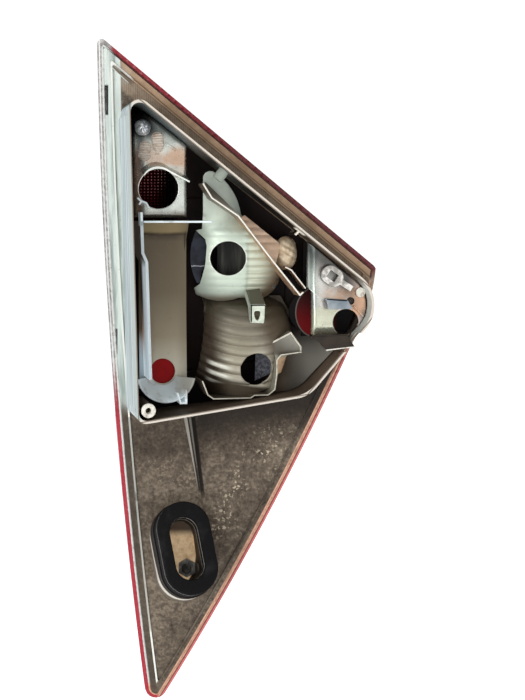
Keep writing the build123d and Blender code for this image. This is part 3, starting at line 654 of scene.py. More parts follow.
def housing_plastic():
    """Grey-brown moulding: dusty pan, pale left wall and dark inside as painted light and shade, striped
    upper flange, white rim.
    """
    f = Finish("housing_plastic", specular_ior_level=0.2, emission_strength=0.4)
    wide = f.noise(16.0, 5.0, 0.6)
    fine = f.noise(150.0, 5.0, 0.7)
    speck = f.noise(420.0, 3.0, 0.6)
    streak = f.noise(60.0, 4.0, stretch=(1.0, 1.0, 0.06))
    lines = f.noise(230.0, 3.0, stretch=(1.0, 1.0, 0.02))
    above = f.above_weld()
    sides = [f.inside_of(RIM[k], RIM[(k + 1) % 4]) for k in range(4)]
    inside = sides[0].least(sides[1]).least(sides[2]).least(sides[3])
    below_wall = sides[2]
    from_top = f.from_top()
    from_right = f.from_right()
    from_left = f.from_left()
    to_left = f.facing((-1.0, 0.0, 0.0))

    # Pan: mottled dirt, dust flakes on its right and upper left, painted shade below the chamber wall,
    # painted light and shadow by the gusset
    dirt = [(0.36, srgb(50, 41, 33)), (0.5, srgb(94, 83, 71)), (0.64, srgb(142, 131, 115))]
    pan = f.ramp(wide * 0.3 + fine * 0.38 + speck * 0.32, dirt)
    drifts = f.noise(26.0, 4.0, shift=(3.0, 0.0, 0.0)).above(0.40, 0.54)
    where = from_right.between(12.0, 40.0, 9.0) * f.z.between(-125.0, -20.0, 12.0)
    where = (where + f.spot(24.0, -62.0, 30.0, 20.0) * 0.35).least(1.0)
    ragged = f.noise(360.0, 2.0, 0.6, shift=(0.0, 2.0, 0.0)) + (f.cells(300.0).below(0.2, 0.6) - 0.5) * 0.12
    flakes = ragged.above(0.55, 0.63) * drifts * where
    pan = pan.paint(flakes * 0.8, 196, 184, 160)
    shade = below_wall.above(-44.0, -10.0) * f.x.above(34.0, 52.0) + f.spot(14.0, -30.0, 36.0, 20.0) * 0.45
    pan = pan.paint(shade.least(1.0) * 0.92, 34, 27, 21)
    # Painted light and shadow beside the gusset: a pale wedge for its lit left face, a dark band for its
    # shadow on the pan
    foot = f.inside_of((41.4, -16.0), (49.0, -74.7))
    pan = pan.paint(foot.between(0.0, 2.6, 0.4) * f.z.between(-52.0, -10.0, 8.0) * 0.8, 168, 165, 157)
    pan = pan.paint(foot.between(-3.2, -0.2, 0.5) * f.z.between(-76.0, -8.0, 4.0) * 0.95, 22, 17, 13)
    edge = from_right.below(5.4, 6.0) * f.z.below(8.0, 40.0)
    strip = (fine * 0.6 + speck * 0.4).shade(0.38, 0.62, (212, 170, 146), (178, 138, 116))
    pan = edge.blend(pan, strip)

    # Upper flange: tan outer stripe, hatched grey-brown inner stripe, dark line by the lens
    tan = (fine * 0.5 + streak * 0.5).shade(0.35, 0.65, (156, 129, 103), (186, 158, 130))
    hatch = f.wave("X", 190.0) * 0.15 + fine * 0.85
    grey = hatch.shade(0.3, 0.7, (116, 101, 85), (150, 134, 116))
    stripe = from_top.above(9.8, 11.0).blend(tan, grey)
    stripe = stripe.paint(from_top.between(8.6, 9.6, 0.4), 112, 92, 74)
    upper = from_top.below(19.0, 22.0) * f.x.above(-19.0, -10.0)
    flat = upper.blend(pan, stripe)

    # Left flange: grey-green strip, pale ridge and dusky strip lower down
    left = sides[3].below(0.2, 0.8) * f.z.above(-14.0, 6.0) * f.x.below(-9.0, -6.0)
    green = (lines * 0.7 + streak * 0.3).shade(0.38, 0.60, (146, 157, 152), (206, 216, 211))
    flat = left.blend(flat, green)
    dusk = from_left.below(7.0, 11.0) * f.z.below(-14.0, 0.0)
    flat = flat.paint(dusk * 0.7, 66, 58, 49)
    ridge = above.between(3.2, 4.3, 0.3) * f.facing(VIEWER).above(0.5, 0.8)
    ridge = ridge * from_left.below(16.0, 19.0) * from_right.above(11.0, 12.5)
    flat = flat.paint(ridge, 226, 228, 222)
    # Painted shade: two slots in the left flange are painted near black
    upper_slot = f.x.between(-26.4, -23.6, 0.3) * f.z.between(224.6, 247.3, 0.8)
    lower_slot = f.x.between(-18.8, -16.3, 0.3) * f.z.between(38.0, 58.5, 0.8)
    flat = flat.paint(upper_slot + lower_slot * 0.8, 26, 26, 25)
    tab = f.spot(-14.3, 254.8, 11.0, 11.0) * above.above(2.4, 3.2)
    flat = flat.paint(tab, 228, 228, 222)

    # Walls of the chamber, all painted light and shade: pale blue-white outside on the left, dark brown
    # inside, lighter at the nose
    pale = (streak * 0.4 + lines * 0.6).shade(0.40, 0.60, (198, 210, 214), (146, 160, 163))
    brown = wide.shade(0.35, 0.65, (64, 53, 43), (100, 85, 71))
    # Painted shade: black on the inner face of the upper wall
    black = sides[0].below(6.0, 12.0) * f.x.between(46.0, 126.0, 10.0)
    brown = brown.paint(black, 8, 6, 5)
    # Painted light: pale grey at the nose, teal-grey near the tail plate
    nose = f.x.above(150.0, 172.0) * f.z.between(50.0, 96.0, 6.0)
    inner = nose.blend(brown, srgb(190, 194, 188))
    teal = f.x.below(20.0, 60.0) * f.z.above(170.0, 200.0)
    inner = inner.paint(teal, 96, 104, 104)
    # Painted light: low on the left the inner wall is pink-brown higher up and white-blue near its foot
    warm = f.x.below(8.0, 14.0) * f.z.between(20.0, 120.0, 12.0)
    inner = (warm * 0.8).blend(inner, f.z.below(44.0, 60.0).blend(srgb(140, 114, 100), srgb(204, 216, 222)))
    # Painted light: outside faces turned to the left are pale blue-white, the others grey-brown
    outer = to_left.above(0.4, 0.8).blend(srgb(112, 98, 84), pale)
    walls = inside.above(1.3, 1.9).blend(outer, inner)
    chamber = above.above(4.4, 5.4) * below_wall.above(-2.0, -1.0)
    colour = chamber.blend(flat, walls)
    small = f.spot(118.5, 135.0, 6.0, 6.0) * f.y.below(10.0, 12.0)
    colour = colour.paint(small, 230, 226, 214)
    peg = f.spot(57.0, 178.0, 10.0, 10.0) * f.y.below(13.0, 15.0) * inside.above(2.0, 2.6)
    colour = colour.paint(peg, 150, 158, 148)

    # Gusset, oval boss with its pale collar, and the bare floor of its pocket, all with painted light and
    # shade
    low = above.above(3.6, 4.4) * below_wall.below(-2.0, -1.0)
    # Painted light and shade on the gusset: pale on faces turned to the left, dark on the others
    gusset = to_left.shade(0.3, 0.8, (40, 33, 27), (172, 170, 162))
    colour = (low * f.z.above(-82.0, -80.0) * f.z.below(-8.0, -3.0)).blend(colour, gusset)
    seat_height = f.ring_height() + RING_THICK
    # Painted light on the collar: pale where it faces down and to the left
    collar = f.facing((-0.55, 0.0, -0.83)).shade(0.2, 0.8, (84, 76, 66), (206, 202, 192))
    collar = collar.paint(seat_height.below(-25.0, -20.0), 104, 96, 86)
    # Painted shade: black on the boss side next to the ring
    side_drop = seat_height + f.z.above(-150.0, -124.0) * 6.0
    collar = collar.paint(side_drop.above(-13.0, -10.0), 16, 14, 12)
    boss_x = float(BOSS_CENTRE[0])
    # Painted shade: dark down inside the mouth of the boss, pale at its lip
    mouth = f.oval(boss_x, -116.0, 15.5, 31.0).below(0.95, 1.05)
    collar = mouth.blend(collar, seat_height.shade(-1.2, -0.8, (52, 44, 36), (222, 216, 204)))
    around = f.spot(boss_x, float(BOSS_CENTRE[2]), 60.0, 90.0).above(0.0, 0.1)
    colour = (low * f.z.below(-76.0, -72.0) * around).blend(colour, collar)
    pocket = f.oval(boss_x, -125.0, 12.5, 27.0).below(0.9, 1.02)
    card = fine.shade(0.35, 0.7, (232, 202, 162), (192, 160, 122))
    # Painted shade: the card floor is darker at its top, under the ring
    card = card.paint(f.z.above(-112.0, -104.0), 70, 56, 44)
    card_floor = pocket * above.below(3.4, 3.8)
    colour = card_floor.blend(colour, card)
    # Painted light: the card floor glows, lifting it out of the pocket's shade
    glow = card_floor.blend(BLACK, card)

    # Rim: white, bluish-grey along the left side as painted reflection, and darker on its inner half as
    # painted shade
    rim = f.y.below(0.25, 0.8)
    bright = sides[3].below(2.6, 4.0).blend(srgb(214, 206, 196), srgb(176, 186, 185))
    edge_tone_and_painted_light = inside.between(1.4, 2.3, 0.15).blend(bright, srgb(124, 114, 103))
    colour = rim.blend(colour, edge_tone_and_painted_light)
    colour = colour.paint(fine.above(0.60, 0.74) * 0.25, 84, 73, 62)
    return f.done(colour, 0.36 + 0.36 * fine, (fine * 0.6 + speck * 0.4, 0.4, 0.25), glow=glow)


def foam():
    """Matt charcoal foam with fine open cells, a little dust and painted highlight lines along its edges."""
    f = Finish("gasket_foam", specular_ior_level=0.12)
    pores = f.cells(900.0)
    dust = f.noise(60.0, 5.0)
    height = f.ring_height()
    hole = f.oval(float(BOSS_CENTRE[0]), -113.0, 16.0, 31.0).below(0.95, 1.05)
    # Painted highlight: thin pale lines round the hole and along the outer side
    edge_highlight = hole * height.between(-9.2, -8.0, 0.2) + (1 - hole) * height.between(-4.4, -3.6, 0.2) * 0.5
    colour = (dust.above(0.5, 0.75) * 0.5).blend(srgb(18, 18, 20), srgb(46, 46, 47))
    colour = colour.paint(edge_highlight, 214, 212, 206)
    return f.done(colour, 0.75 + 0.2 * pores, (pores + dust, 0.5, 0.2))


def mint_metal():
    """Pale mint metallised coat, dulled and dusty, turning brown towards its foot and its right side as
    painted shade.
    """
    f = Finish("mint_metal", specular_ior_level=0.5)
    haze = f.noise(16.0, 4.0)
    fine = f.noise(180.0, 4.0)
    mint = haze.shade(0.35, 0.7, (190, 204, 190), (216, 225, 212))
    right = f.x.above(80.0, 86.0) * f.z.below(148.0, 152.0)
    mint = mint.paint(right * 0.5, 214, 214, 190)
    # Painted shade: brown towards the foot and the lower right
    corner = (f.x - f.z * 0.8).above(8.0, 32.0)
    brown = corner.least(f.z.below(104.0, 116.0)) + f.z.below(81.5, 88.0) * 0.85
    colour = (brown.least(1.0) * 0.92).blend(mint, srgb(104, 82, 60))
    # Painted shade: greyer on the leaf at the top
    leaf = f.z.above(140.0, 172.0) * 0.6
    colour = colour.paint(leaf, 140, 150, 142)
    # Painted shade: a darker line in the crease
    crease = f.x.between(80.4, 82.4, 1.0) * f.z.between(86.0, 126.0, 6.0)
    colour = colour.paint(crease * 0.4, 150, 146, 122)
    # Painted highlight: a pale ring round the edge of the hole
    colour = colour.paint(f.round_edge(INDICATOR_HOLE, INDICATOR_BORE, 0.6) * 0.6, 240, 242, 234)
    colour = colour.paint(fine.above(0.55, 0.75) * 0.22, 150, 140, 118)
    return f.done(colour, 0.3 + 0.2 * fine, (fine, 0.15, 0.15), metal=0.3)


def arm_coat():
    """Coat of the keyhole arm: pale front and left side, dark olive top as painted shade."""
    f = Finish("arm_coat", specular_ior_level=0.5)
    fine = f.noise(180.0, 4.0)
    # Painted shade: the faces turned up are dark olive
    top = f.facing((0.0, -0.5, 0.86)).above(0.75, 0.95)
    pale = fine.shade(0.35, 0.65, (210, 218, 204), (182, 192, 176))
    colour = top.blend(pale, srgb(88, 88, 74))
    return f.done(colour, 0.3 + 0.2 * fine, (fine, 0.15, 0.15), metal=0.2)


def fin_coat():
    """Coat of the long fin: pale edge towards the viewer, tan faces behind it, taupe higher up as painted
    shade.
    """
    f = Finish("fin_coat", specular_ior_level=0.5)
    fine = f.noise(160.0, 4.0)
    edge = f.facing(VIEWER).above(0.5, 0.85)
    tan = fine.shade(0.35, 0.65, (150, 120, 94), (196, 162, 132))
    # Painted shade: taupe on the faces high up
    faces = f.z.above(140.0, 152.0).blend(tan, srgb(122, 112, 98))
    colour = edge.blend(faces, srgb(236, 234, 224))
    return f.done(colour, 0.3 + 0.2 * fine, (fine, 0.15, 0.15), metal=0.3)


def egg_coat():
    """Beige coat of the rounded bulge, with shallow dents."""
    f = Finish("egg_coat", specular_ior_level=0.5)
    fine = f.noise(150.0, 4.0)
    dents = f.noise(90.0, 2.0)
    colour = fine.shade(0.35, 0.65, (210, 193, 166), (172, 151, 123))
    return f.done(colour, 0.35 + 0.2 * fine, (dents, 0.5, 0.8), metal=0.2)


def beige_metal():
    """Grey-beige coat of the lower bowl: painted shade dark at its left, top and foot, painted brown
    reflection on its right, painted highlight streaks at its lower left.
    """
    f = Finish("beige_metal", specular_ior_level=0.2)
    haze = f.noise(18.0, 4.0)
    fine = f.noise(180.0, 4.0)
    lean_y, lean_z = float(np.sin(BOWL_LEAN)), float(np.cos(BOWL_LEAN))
    height = (BOWL_Y - f.y) * lean_y + (f.z - BOWL_Z) * lean_z
    sag = (f.x - BOWL_SAG_X) * (f.x - BOWL_SAG_X) * BOWL_SAG
    groove = ((height - sag) / BOWL_PITCH + 20.5).math("FRACT")
    grey = haze.shade(0.35, 0.7, (164, 158, 140), (200, 196, 182))
    # Painted shade: dark lines in the flute grooves
    lines = groove.below(0.05, 0.4) * f.x.below(96.0, 112.0)
    grey = grey.paint(lines * 0.6, 120, 111, 95)
    # Painted shade: darker up the bowl
    grey = grey.paint(f.z.above(32.0, 60.0) * 0.6, 104, 100, 88)
    # Painted reflection: brown on the right
    right = (f.x + f.z * 0.35).above(102.0, 122.0)
    colour = (right * 0.85).blend(grey, srgb(92, 79, 62))
    # Painted shade: dark at the foot inside the skirt
    foot = (f.z - (BOWL_FOOT_X - f.x) * BOWL_FOOT_SLOPE).below(11.5, 15.0)
    colour = colour.paint(foot * 0.95, 86, 77, 64)
    # Painted shade: dark on the left
    left = (f.x + f.z * 0.1).below(58.0, 74.0)
    colour = colour.paint(left * 0.95, 52, 41, 32)
    # Painted highlights: pale streaks on the flute ridges at the lower left
    streak = f.x.above(50.0, 56.0) * f.x.below(64.0, 72.0) * f.z.above(15.0, 19.0) * f.z.below(32.0, 38.0)
    streak = streak * groove.above(0.35, 0.55) * groove.below(0.75, 0.95)
    colour = colour.paint(streak * 0.85, 222, 222, 210)
    # Painted shadow: dark at the top under the indicator bowl
    top = f.z.above(58.0, 76.0)
    colour = colour.paint(top * 0.85, 70, 64, 52)
    colour = colour.paint(fine.above(0.55, 0.75) * 0.25, 98, 86, 70)
    return f.done(colour, 0.26 + 0.22 * fine, (fine, 0.15, 0.15), metal=0.12)


def skirt_coat():
    """Coat of the skirt round the lower bowl: pale front edge, grey-green and taupe faces, painted shade and
    sheen across its ledge.
    """
    f = Finish("skirt_coat", specular_ior_level=0.5)
    fine = f.noise(160.0, 4.0)
    edge = f.facing(VIEWER).above(0.5, 0.85) * f.y.below(24.5, 24.9)
    right = f.x.above(97.0, 103.0) * f.z.below(46.0, 50.0)
    faces = right.blend(srgb(88, 80, 68), srgb(178, 176, 160))
    # Painted shade and sheen: the ledge runs from dark to pale across it
    ledge = f.z.above(36.0, 40.0) * f.x.above(99.0, 101.0)
    shine = (f.x * 0.6 + f.z * 0.8).shade(96.0, 122.0, (92, 88, 78), (166, 166, 156))
    faces = ledge.blend(faces, shine)
    web = f.x.above(103.0, 105.0) * f.z.below(36.0, 39.0) * f.y.above(27.0, 27.4)
    tan = (f.x - f.z * 0.35).shade(96.0, 103.0, (204, 170, 132), (120, 94, 68))
    faces = web.blend(faces, tan)
    colour = edge.blend(faces, srgb(214, 210, 196))
    colour = colour.paint(fine.above(0.5, 0.7) * 0.3, 96, 84, 70)
    return f.done(colour, 0.3 + 0.25 * fine, (fine, 0.15, 0.15), metal=0.3)


def tail_chrome():
    """Bright metallised plate of the tail lamp: tan stains, brown left edge, painted shade dark at its top
    left and foot, painted highlight round its hole.
    """
    f = Finish("tail_chrome", metallic=0.7)
    stain = f.noise(36.0, 4.0, 0.6)
    fine = f.noise(260.0, 4.0)
    waves = f.noise(48.0, 2.0, shift=(0.0, 5.0, 0.0))
    colour = stain.shade(0.4, 0.62, (214, 220, 214), (168, 172, 164))
    tan = (f.spot(10.0, 190.0, 11.0, 9.0) * 0.6 + f.spot(27.0, 188.0, 13.0, 15.0) * 0.8).least(1.0)
    colour = colour.paint(tan * stain.above(0.25, 0.5) * 0.9, 204, 162, 132)
    hood = f.spot(14.0, 172.0, 27.0, 27.0) * f.z.below(184.0, 187.0)
    colour = colour.paint(hood * 0.7, 206, 215, 210)
    colour = colour.paint(f.x.below(-3.0, 2.0) * f.z.below(192.0, 206.0) * 0.75, 158, 120, 100)
    # Painted shade: teal-grey along the top, black at the top left
    top = f.z.above(200.0, 214.0)
    colour = colour.paint(top * 0.8, 98, 108, 108)
    colour = colour.paint(top * f.x.below(4.0, 14.0), 18, 16, 15)
    # Painted shade: dark at the foot above the shelf
    colour = colour.paint(f.z.below(146.0, 153.0) * 0.85, 84, 74, 62)
    # Painted highlight: a pale ring round the edge of the hole
    colour = colour.paint(f.round_edge(TAIL_HOLE, TAIL_BORE, 0.6) * 0.7, 232, 234, 230)
    colour = colour.paint(fine.above(0.6, 0.72) * 0.5, 110, 92, 78)
    return f.done(colour, 0.16 + 0.2 * fine, (waves, 0.4, 1.4))


def corner_chrome():
    """Bright metallised plate of the corner lamp: mint left strip, tan stains, dark top as painted shade,
    olive foot.
    """
    f = Finish("corner_chrome", metallic=0.65)
    stain = f.noise(40.0, 4.0, 0.6)
    fine = f.noise(260.0, 4.0)
    waves = f.noise(60.0, 2.0, shift=(0.0, 5.0, 0.0))
    colour = stain.shade(0.4, 0.62, (212, 212, 208), (192, 176, 170))
    tan = (f.spot(152.0, 84.0, 16.0, 9.0) + f.spot(166.0, 80.0, 12.0, 14.0)).least(1.0)
    colour = colour.paint(tan * stain.above(0.3, 0.6) * 0.9, 206, 166, 136)
    colour = colour.paint(f.x.below(131.0, 138.0), 168, 178, 172)
    face = f.z.below(73.0, 78.0) * f.x.below(148.0, 154.0)
    colour = colour.paint(face * 0.85, 198, 202, 180)
    colour = colour.paint(f.z.below(53.0, 60.0) * 0.8, 128, 104, 70)
    # Painted shade: dark along the top under the chamber's upper wall
    top = f.inside_of(RIM[0], RIM[1]).below(6.0, 26.0) * f.x.below(158.0, 172.0)
    colour = colour.paint(top * 0.9, 46, 50, 49)
    colour = colour.paint(fine.above(0.6, 0.72) * 0.5, 120, 104, 92)
    return f.done(colour, 0.16 + 0.2 * fine, (waves, 0.4, 1.2))


def tinted_metal(name, light, dark):
    """Metallised plastic of one tint with soft stains."""
    f = Finish(name, metallic=0.5)
    stain = f.noise(60.0, 4.0)
    fine = f.noise(220.0, 4.0)
    colour = stain.above(0.35, 0.65).blend(light, dark)
    return f.done(colour, 0.22 + 0.2 * fine, (fine, 0.15, 0.15))


def panel_coat():
    """Metallised coat of the tall panel, with painted light and shade: dark taupe top, pale foot, white-blue
    strip low at the left.
    """
    f = Finish("panel_coat", specular_ior_level=0.2)
    haze = f.noise(22.0, 4.0, stretch=(1.0, 1.0, 0.35))
    fine = f.noise(200.0, 4.0)
    # Painted light and shade up the panel: pale at the foot, darker towards the top, near black in the
    # crease, lighter on the fold above it
    rise = [
        (0.0, srgb(208, 206, 192)), (0.14, srgb(194, 189, 173)), (0.32, srgb(146, 136, 116)),
        (0.58, srgb(108, 98, 80)), (0.88, srgb(92, 82, 66)), (0.92, srgb(60, 50, 40)),
        (0.935, srgb(150, 135, 104)), (1.0, srgb(136, 122, 95)),
    ]
    height = (f.z - COLUMN_FOOT) / (SHELF_TOP - COLUMN_FOOT) + (haze - 0.5) * 0.06
    tan = f.ramp(height, rise)
    # Painted shade: brown low on the left
    tan = tan.paint(f.x.below(6.0, 13.0) * f.z.below(60.0, 80.0) * 0.5, 112, 88, 72)
    # Painted shade: olive on the right
    tan = tan.paint(f.x.above(26.0, 37.0) * 0.5, 104, 95, 76)
    # Painted light: a white-blue strip low at the left, beside the lit side wall
    tan = tan.paint(f.x.below(2.2, 3.4) * f.z.below(46.0, 60.0), 206, 218, 224)
    colour = (fine.above(0.57, 0.75) * 0.3).blend(tan, srgb(120, 104, 84))
    return f.done(colour, 0.28 + 0.2 * fine, (fine, 0.12, 0.15), metal=0.12)


def pale_wall():
    """Pale blue-white metallised side walls with a painted glow, painted shade on faces turned up and low on
    their right, and specks of grime.
    """
    f = Finish("pale_wall", specular_ior_level=0.5, emission_strength=0.22)
    fine = f.noise(120.0, 4.0)
    wide = f.noise(24.0, 3.0)
    pale = wide.shade(0.35, 0.65, (226, 236, 240), (190, 202, 206))
    shade = f.x.above(19.0, 34.0) * f.z.between(10.0, 32.0, 4.0)
    pale = pale.paint(shade * 0.75, 120, 112, 92)
    # Painted shade: faces turned up are dark
    top = f.facing((0.0, 0.0, 1.0)).above(0.6, 0.9) * f.z.above(130.0, 140.0)
    colour = top.blend(pale, srgb(64, 56, 46))
    colour = colour.paint(fine.above(0.55, 0.7) * 0.35, 122, 110, 98)
    # Painted light: the walls glow in their own colour
    return f.done(colour, 0.25 + 0.2 * fine, (fine, 0.15, 0.2), metal=0.25, glow=colour)


def lit_wall():
    """Side wall of the column, its light painted on with a glow: white-blue where bright walls light it,
    pink-brown behind, dark at its top.
    """
    f = Finish("lit_wall", specular_ior_level=0.4, emission_strength=0.55)
    fine = f.noise(120.0, 4.0)
    wide = f.noise(24.0, 3.0, stretch=(1.0, 1.0, 0.3))
    pale = wide.shade(0.35, 0.65, (216, 228, 234), (178, 192, 198))
    behind = f.z.below(40.0, 84.0).blend(srgb(36, 29, 24), srgb(176, 150, 138))
    behind = behind.paint(f.z.below(30.0, 56.0), 214, 226, 232)
    colour = f.y.above(30.0, 40.0).blend(pale, behind)
    colour = colour.paint(f.z.above(106.0, 116.0) * f.y.above(13.0, 16.0), 58, 52, 46)
    colour = colour.paint(fine.above(0.58, 0.72) * 0.3, 130, 120, 110)
    # Painted light: faces turned to the left glow in their own colour
    glow = f.facing((-1.0, 0.0, 0.0)).above(0.3, 0.7).blend(BLACK, colour)
    return f.done(colour, 0.3 + 0.2 * fine, (fine, 0.15, 0.2), glow=glow)


def steel(name, dark, light, rough, glow=0.0):
    """Dull steel with grime in its low places, lifted a little by glow where its pocket shades it."""
    f = Finish(name, metallic=0.6, emission_strength=glow)
    grime = f.noise(160.0, 5.0, 0.65)
    colour = grime.above(0.38, 0.62).blend(dark, light)
    return f.done(colour, rough + 0.25 * grime, (grime, 0.5, 0.4), glow=colour)


def lens_red():
    """Outer lens: deep red under a clear coat, pillow optics inside it, grey foot with wear at the upper left
    and a painted highlight line along it.
    """
    f = Finish("red_lens", ior=1.49, coat_roughness=0.15)
    depth = f.noise(10.0, 3.0)
    fine = f.noise(240.0, 4.0)
    red = depth.shade(0.3, 0.7, (112, 6, 14), (150, 14, 24))
    near_foot = f.above_weld().above(-12.0, -6.0)
    upper = f.from_top().below(8.0, 12.0) * near_foot
    dark = f.x.shade(10.0, 110.0, (140, 12, 32), (92, 8, 20))
    red = upper.blend(red, dark)
    lower = f.from_right()
    pink = lower.shade(1.3, 1.7, (196, 104, 102), (120, 48, 46))
    pink = pink.paint(lower.above(2.3, 2.7), 204, 162, 138)
    red = (lower.below(8.0, 12.0) * near_foot * f.z.below(46.0, 60.0)).blend(red, pink)
    nose = f.x.above(158.0, 164.0) * near_foot * f.z.between(40.0, 100.0, 6.0)
    red = red.paint(nose, 172, 148, 128)
    left = f.from_left()
    beside = left.below(8.0, 12.0) * near_foot
    red = red.paint(beside * f.z.below(-20.0, 20.0), 160, 14, 40)
    # Grey foot at the upper left, with wear, and a painted highlight line along its left edge
    edge_tone_and_painted_light = fine.shade(0.42, 0.6, (138, 135, 134), (178, 177, 176))
    edge_tone_and_painted_light = edge_tone_and_painted_light.paint(left.between(0.9, 1.7, 0.3), 222, 223, 222)
    red = (beside * f.z.above(-10.0, 40.0) * f.x.below(-18.0, -14.0)).blend(red, edge_tone_and_painted_light)
    colour = (fine.above(0.58, 0.72) * 0.12).blend(red, srgb(120, 60, 60))
    pillows = f.wave("X", 62.0) * f.wave("Z", 62.0)
    return f.done(colour, 0.3 + 0.2 * fine, (pillows, 0.6, 0.8), coat=1 - near_foot)


def bead_plastic():
    """Weld bead: grey and speckled on the left, tan on the lower right, dark red-brown along the top."""
    f = Finish("seal_bead", specular_ior_level=0.4)
    fine = f.noise(260.0, 4.0, 0.65)
    colour = fine.shade(0.5, 0.7, (202, 205, 202), (172, 173, 169))
    right = f.from_right().below(14.0, 18.0) * f.z.below(90.0, 105.0)
    colour = right.blend(colour, fine.shade(0.4, 0.6, (214, 168, 138), (182, 138, 112)))
    upper = f.from_top().below(8.0, 12.0) * f.x.above(-24.0, -18.0)
    colour = colour.paint(upper, 74, 40, 38)
    return f.done(colour, 0.4 + 0.3 * fine, (fine, 0.3, 0.3))


def lens_clear():
    """Clear insert: pale silver seen through a clear coat, with upright flutes inside it."""
    f = Finish("clear_lens", ior=1.49, coat_weight=1.0, coat_roughness=0.12, metallic=0.5)
    fine = f.noise(200.0, 4.0)
    wide = f.noise(14.0, 3.0)
    colour = wide.shade(0.3, 0.7, (206, 210, 208), (168, 174, 172))
    return f.done(colour, 0.18 + 0.15 * fine, (f.wave("X", 48.0), 0.7, 1.0))


def dark_inside():
    """Unlit inside of the lens: near black, a little red, with a painted lit floor low on the right."""
    f = Finish("lens_inside", specular_ior_level=0.2)
    wide = f.noise(20.0, 3.0)
    colour = wide.shade(0.3, 0.7, (16, 10, 9), (34, 20, 17))
    # Painted light: low on the right a brown to pale grey patch on the inside of the lens stands in for a lit
    # floor
    low = f.z.below(30.0, 62.0) * f.x.above(100.0, 120.0)
    colour = (low * 0.9).blend(colour, f.x.shade(112.0, 136.0, (120, 103, 86), (182, 178, 168)))
    return f.done(colour, 0.6 + 0.2 * wide)


def red_optic(name, deep, light, fade, grid=False):
    """Red plastic behind a bulb hole, brighter on one side, with painted shade black in the grooves between
    its pillows and painted highlights on their tops.
    """
    f = Finish(name, specular_ior_level=0.08)
    fine = f.noise(240.0, 4.0)
    colour = fade(f).blend(light, deep)
    if grid:
        column = (f.x * float(np.pi / PILLOW_WIDTH)).math("COSINE")
        pillow = (column * (f.z * float(np.pi / PILLOW_HEIGHT)).math("COSINE")).math("ABSOLUTE")
        # Painted shade: black in the grooves between the pillows
        colour = (pillow.below(0.2, 0.7) * 0.85).blend(colour, srgb(8, 2, 3))
        # Painted highlights: pale tops of the pillows at the upper left
        colour = (pillow.above(0.8, 0.95) * f.spot(9.0, 180.0, 15.0, 22.0)).blend(colour, srgb(206, 160, 160))
    colour = colour.paint(fine.above(0.55, 0.7) * 0.25, 60, 14, 14)
    return f.done(colour, 0.25 + 0.2 * fine, (fine, 0.1, 0.1))


def corner_red():
    """Red plastic of the corner optic: a deep red half-moon on the left, black behind the bulb hole as
    painted shade.
    """
    f = Finish("corner_red", specular_ior_level=0.1)
    fine = f.noise(240.0, 4.0)
    moon = f.oval(138.0, 71.2, 15.5, 20.0)
    red = f.z.below(56.0, 84.0).blend(srgb(50, 2, 5), srgb(108, 4, 10))
    red = red.paint(moon.above(0.90, 0.95), 104, 100, 96)
    red = red.paint(moon.above(1.0, 1.06), 12, 8, 7)
    # Painted shade: black where it is seen through the bulb hole
    hole = f.x.shade(150.0, 156.0, (82, 8, 12), (10, 6, 6))
    colour = f.x.above(143.0, 145.0).blend(red, hole)
    colour = colour.paint(fine.above(0.55, 0.7) * 0.2, 30, 8, 8)
    return f.done(colour, 0.4 + 0.2 * fine, (fine, 0.1, 0.1))


def dark_plastic(name, light, dark, stretch=(1.0, 1.0, 1.0), scale=120.0, scratch=None):
    """Dark plastic plate with stripes or grain, and a pale scratch across it at a height where given."""
    f = Finish(name, specular_ior_level=0.15)
    grain = f.noise(scale, 4.0, 0.6, stretch=stretch)
    colour = grain.above(0.38, 0.62).blend(dark, light)
    if scratch:
        wander = f.z + f.noise(300.0, 3.0) * 2.4
        colour = (wander.between(scratch + 0.9, scratch + 1.5, 0.3) * 0.8).blend(colour, srgb(190, 194, 200))
    return f.done(colour, 0.25 + 0.3 * grain, (grain, 0.2, 0.2))


def pale_plastic(name, light, dirt):
    """Pale moulded plastic with grime."""
    f = Finish(name, specular_ior_level=0.5)
    fine = f.noise(200.0, 5.0, 0.65)
    colour = fine.above(0.45, 0.72).blend(light, dirt)
    return f.done(colour, 0.35 + 0.3 * fine, (fine, 0.25, 0.2))


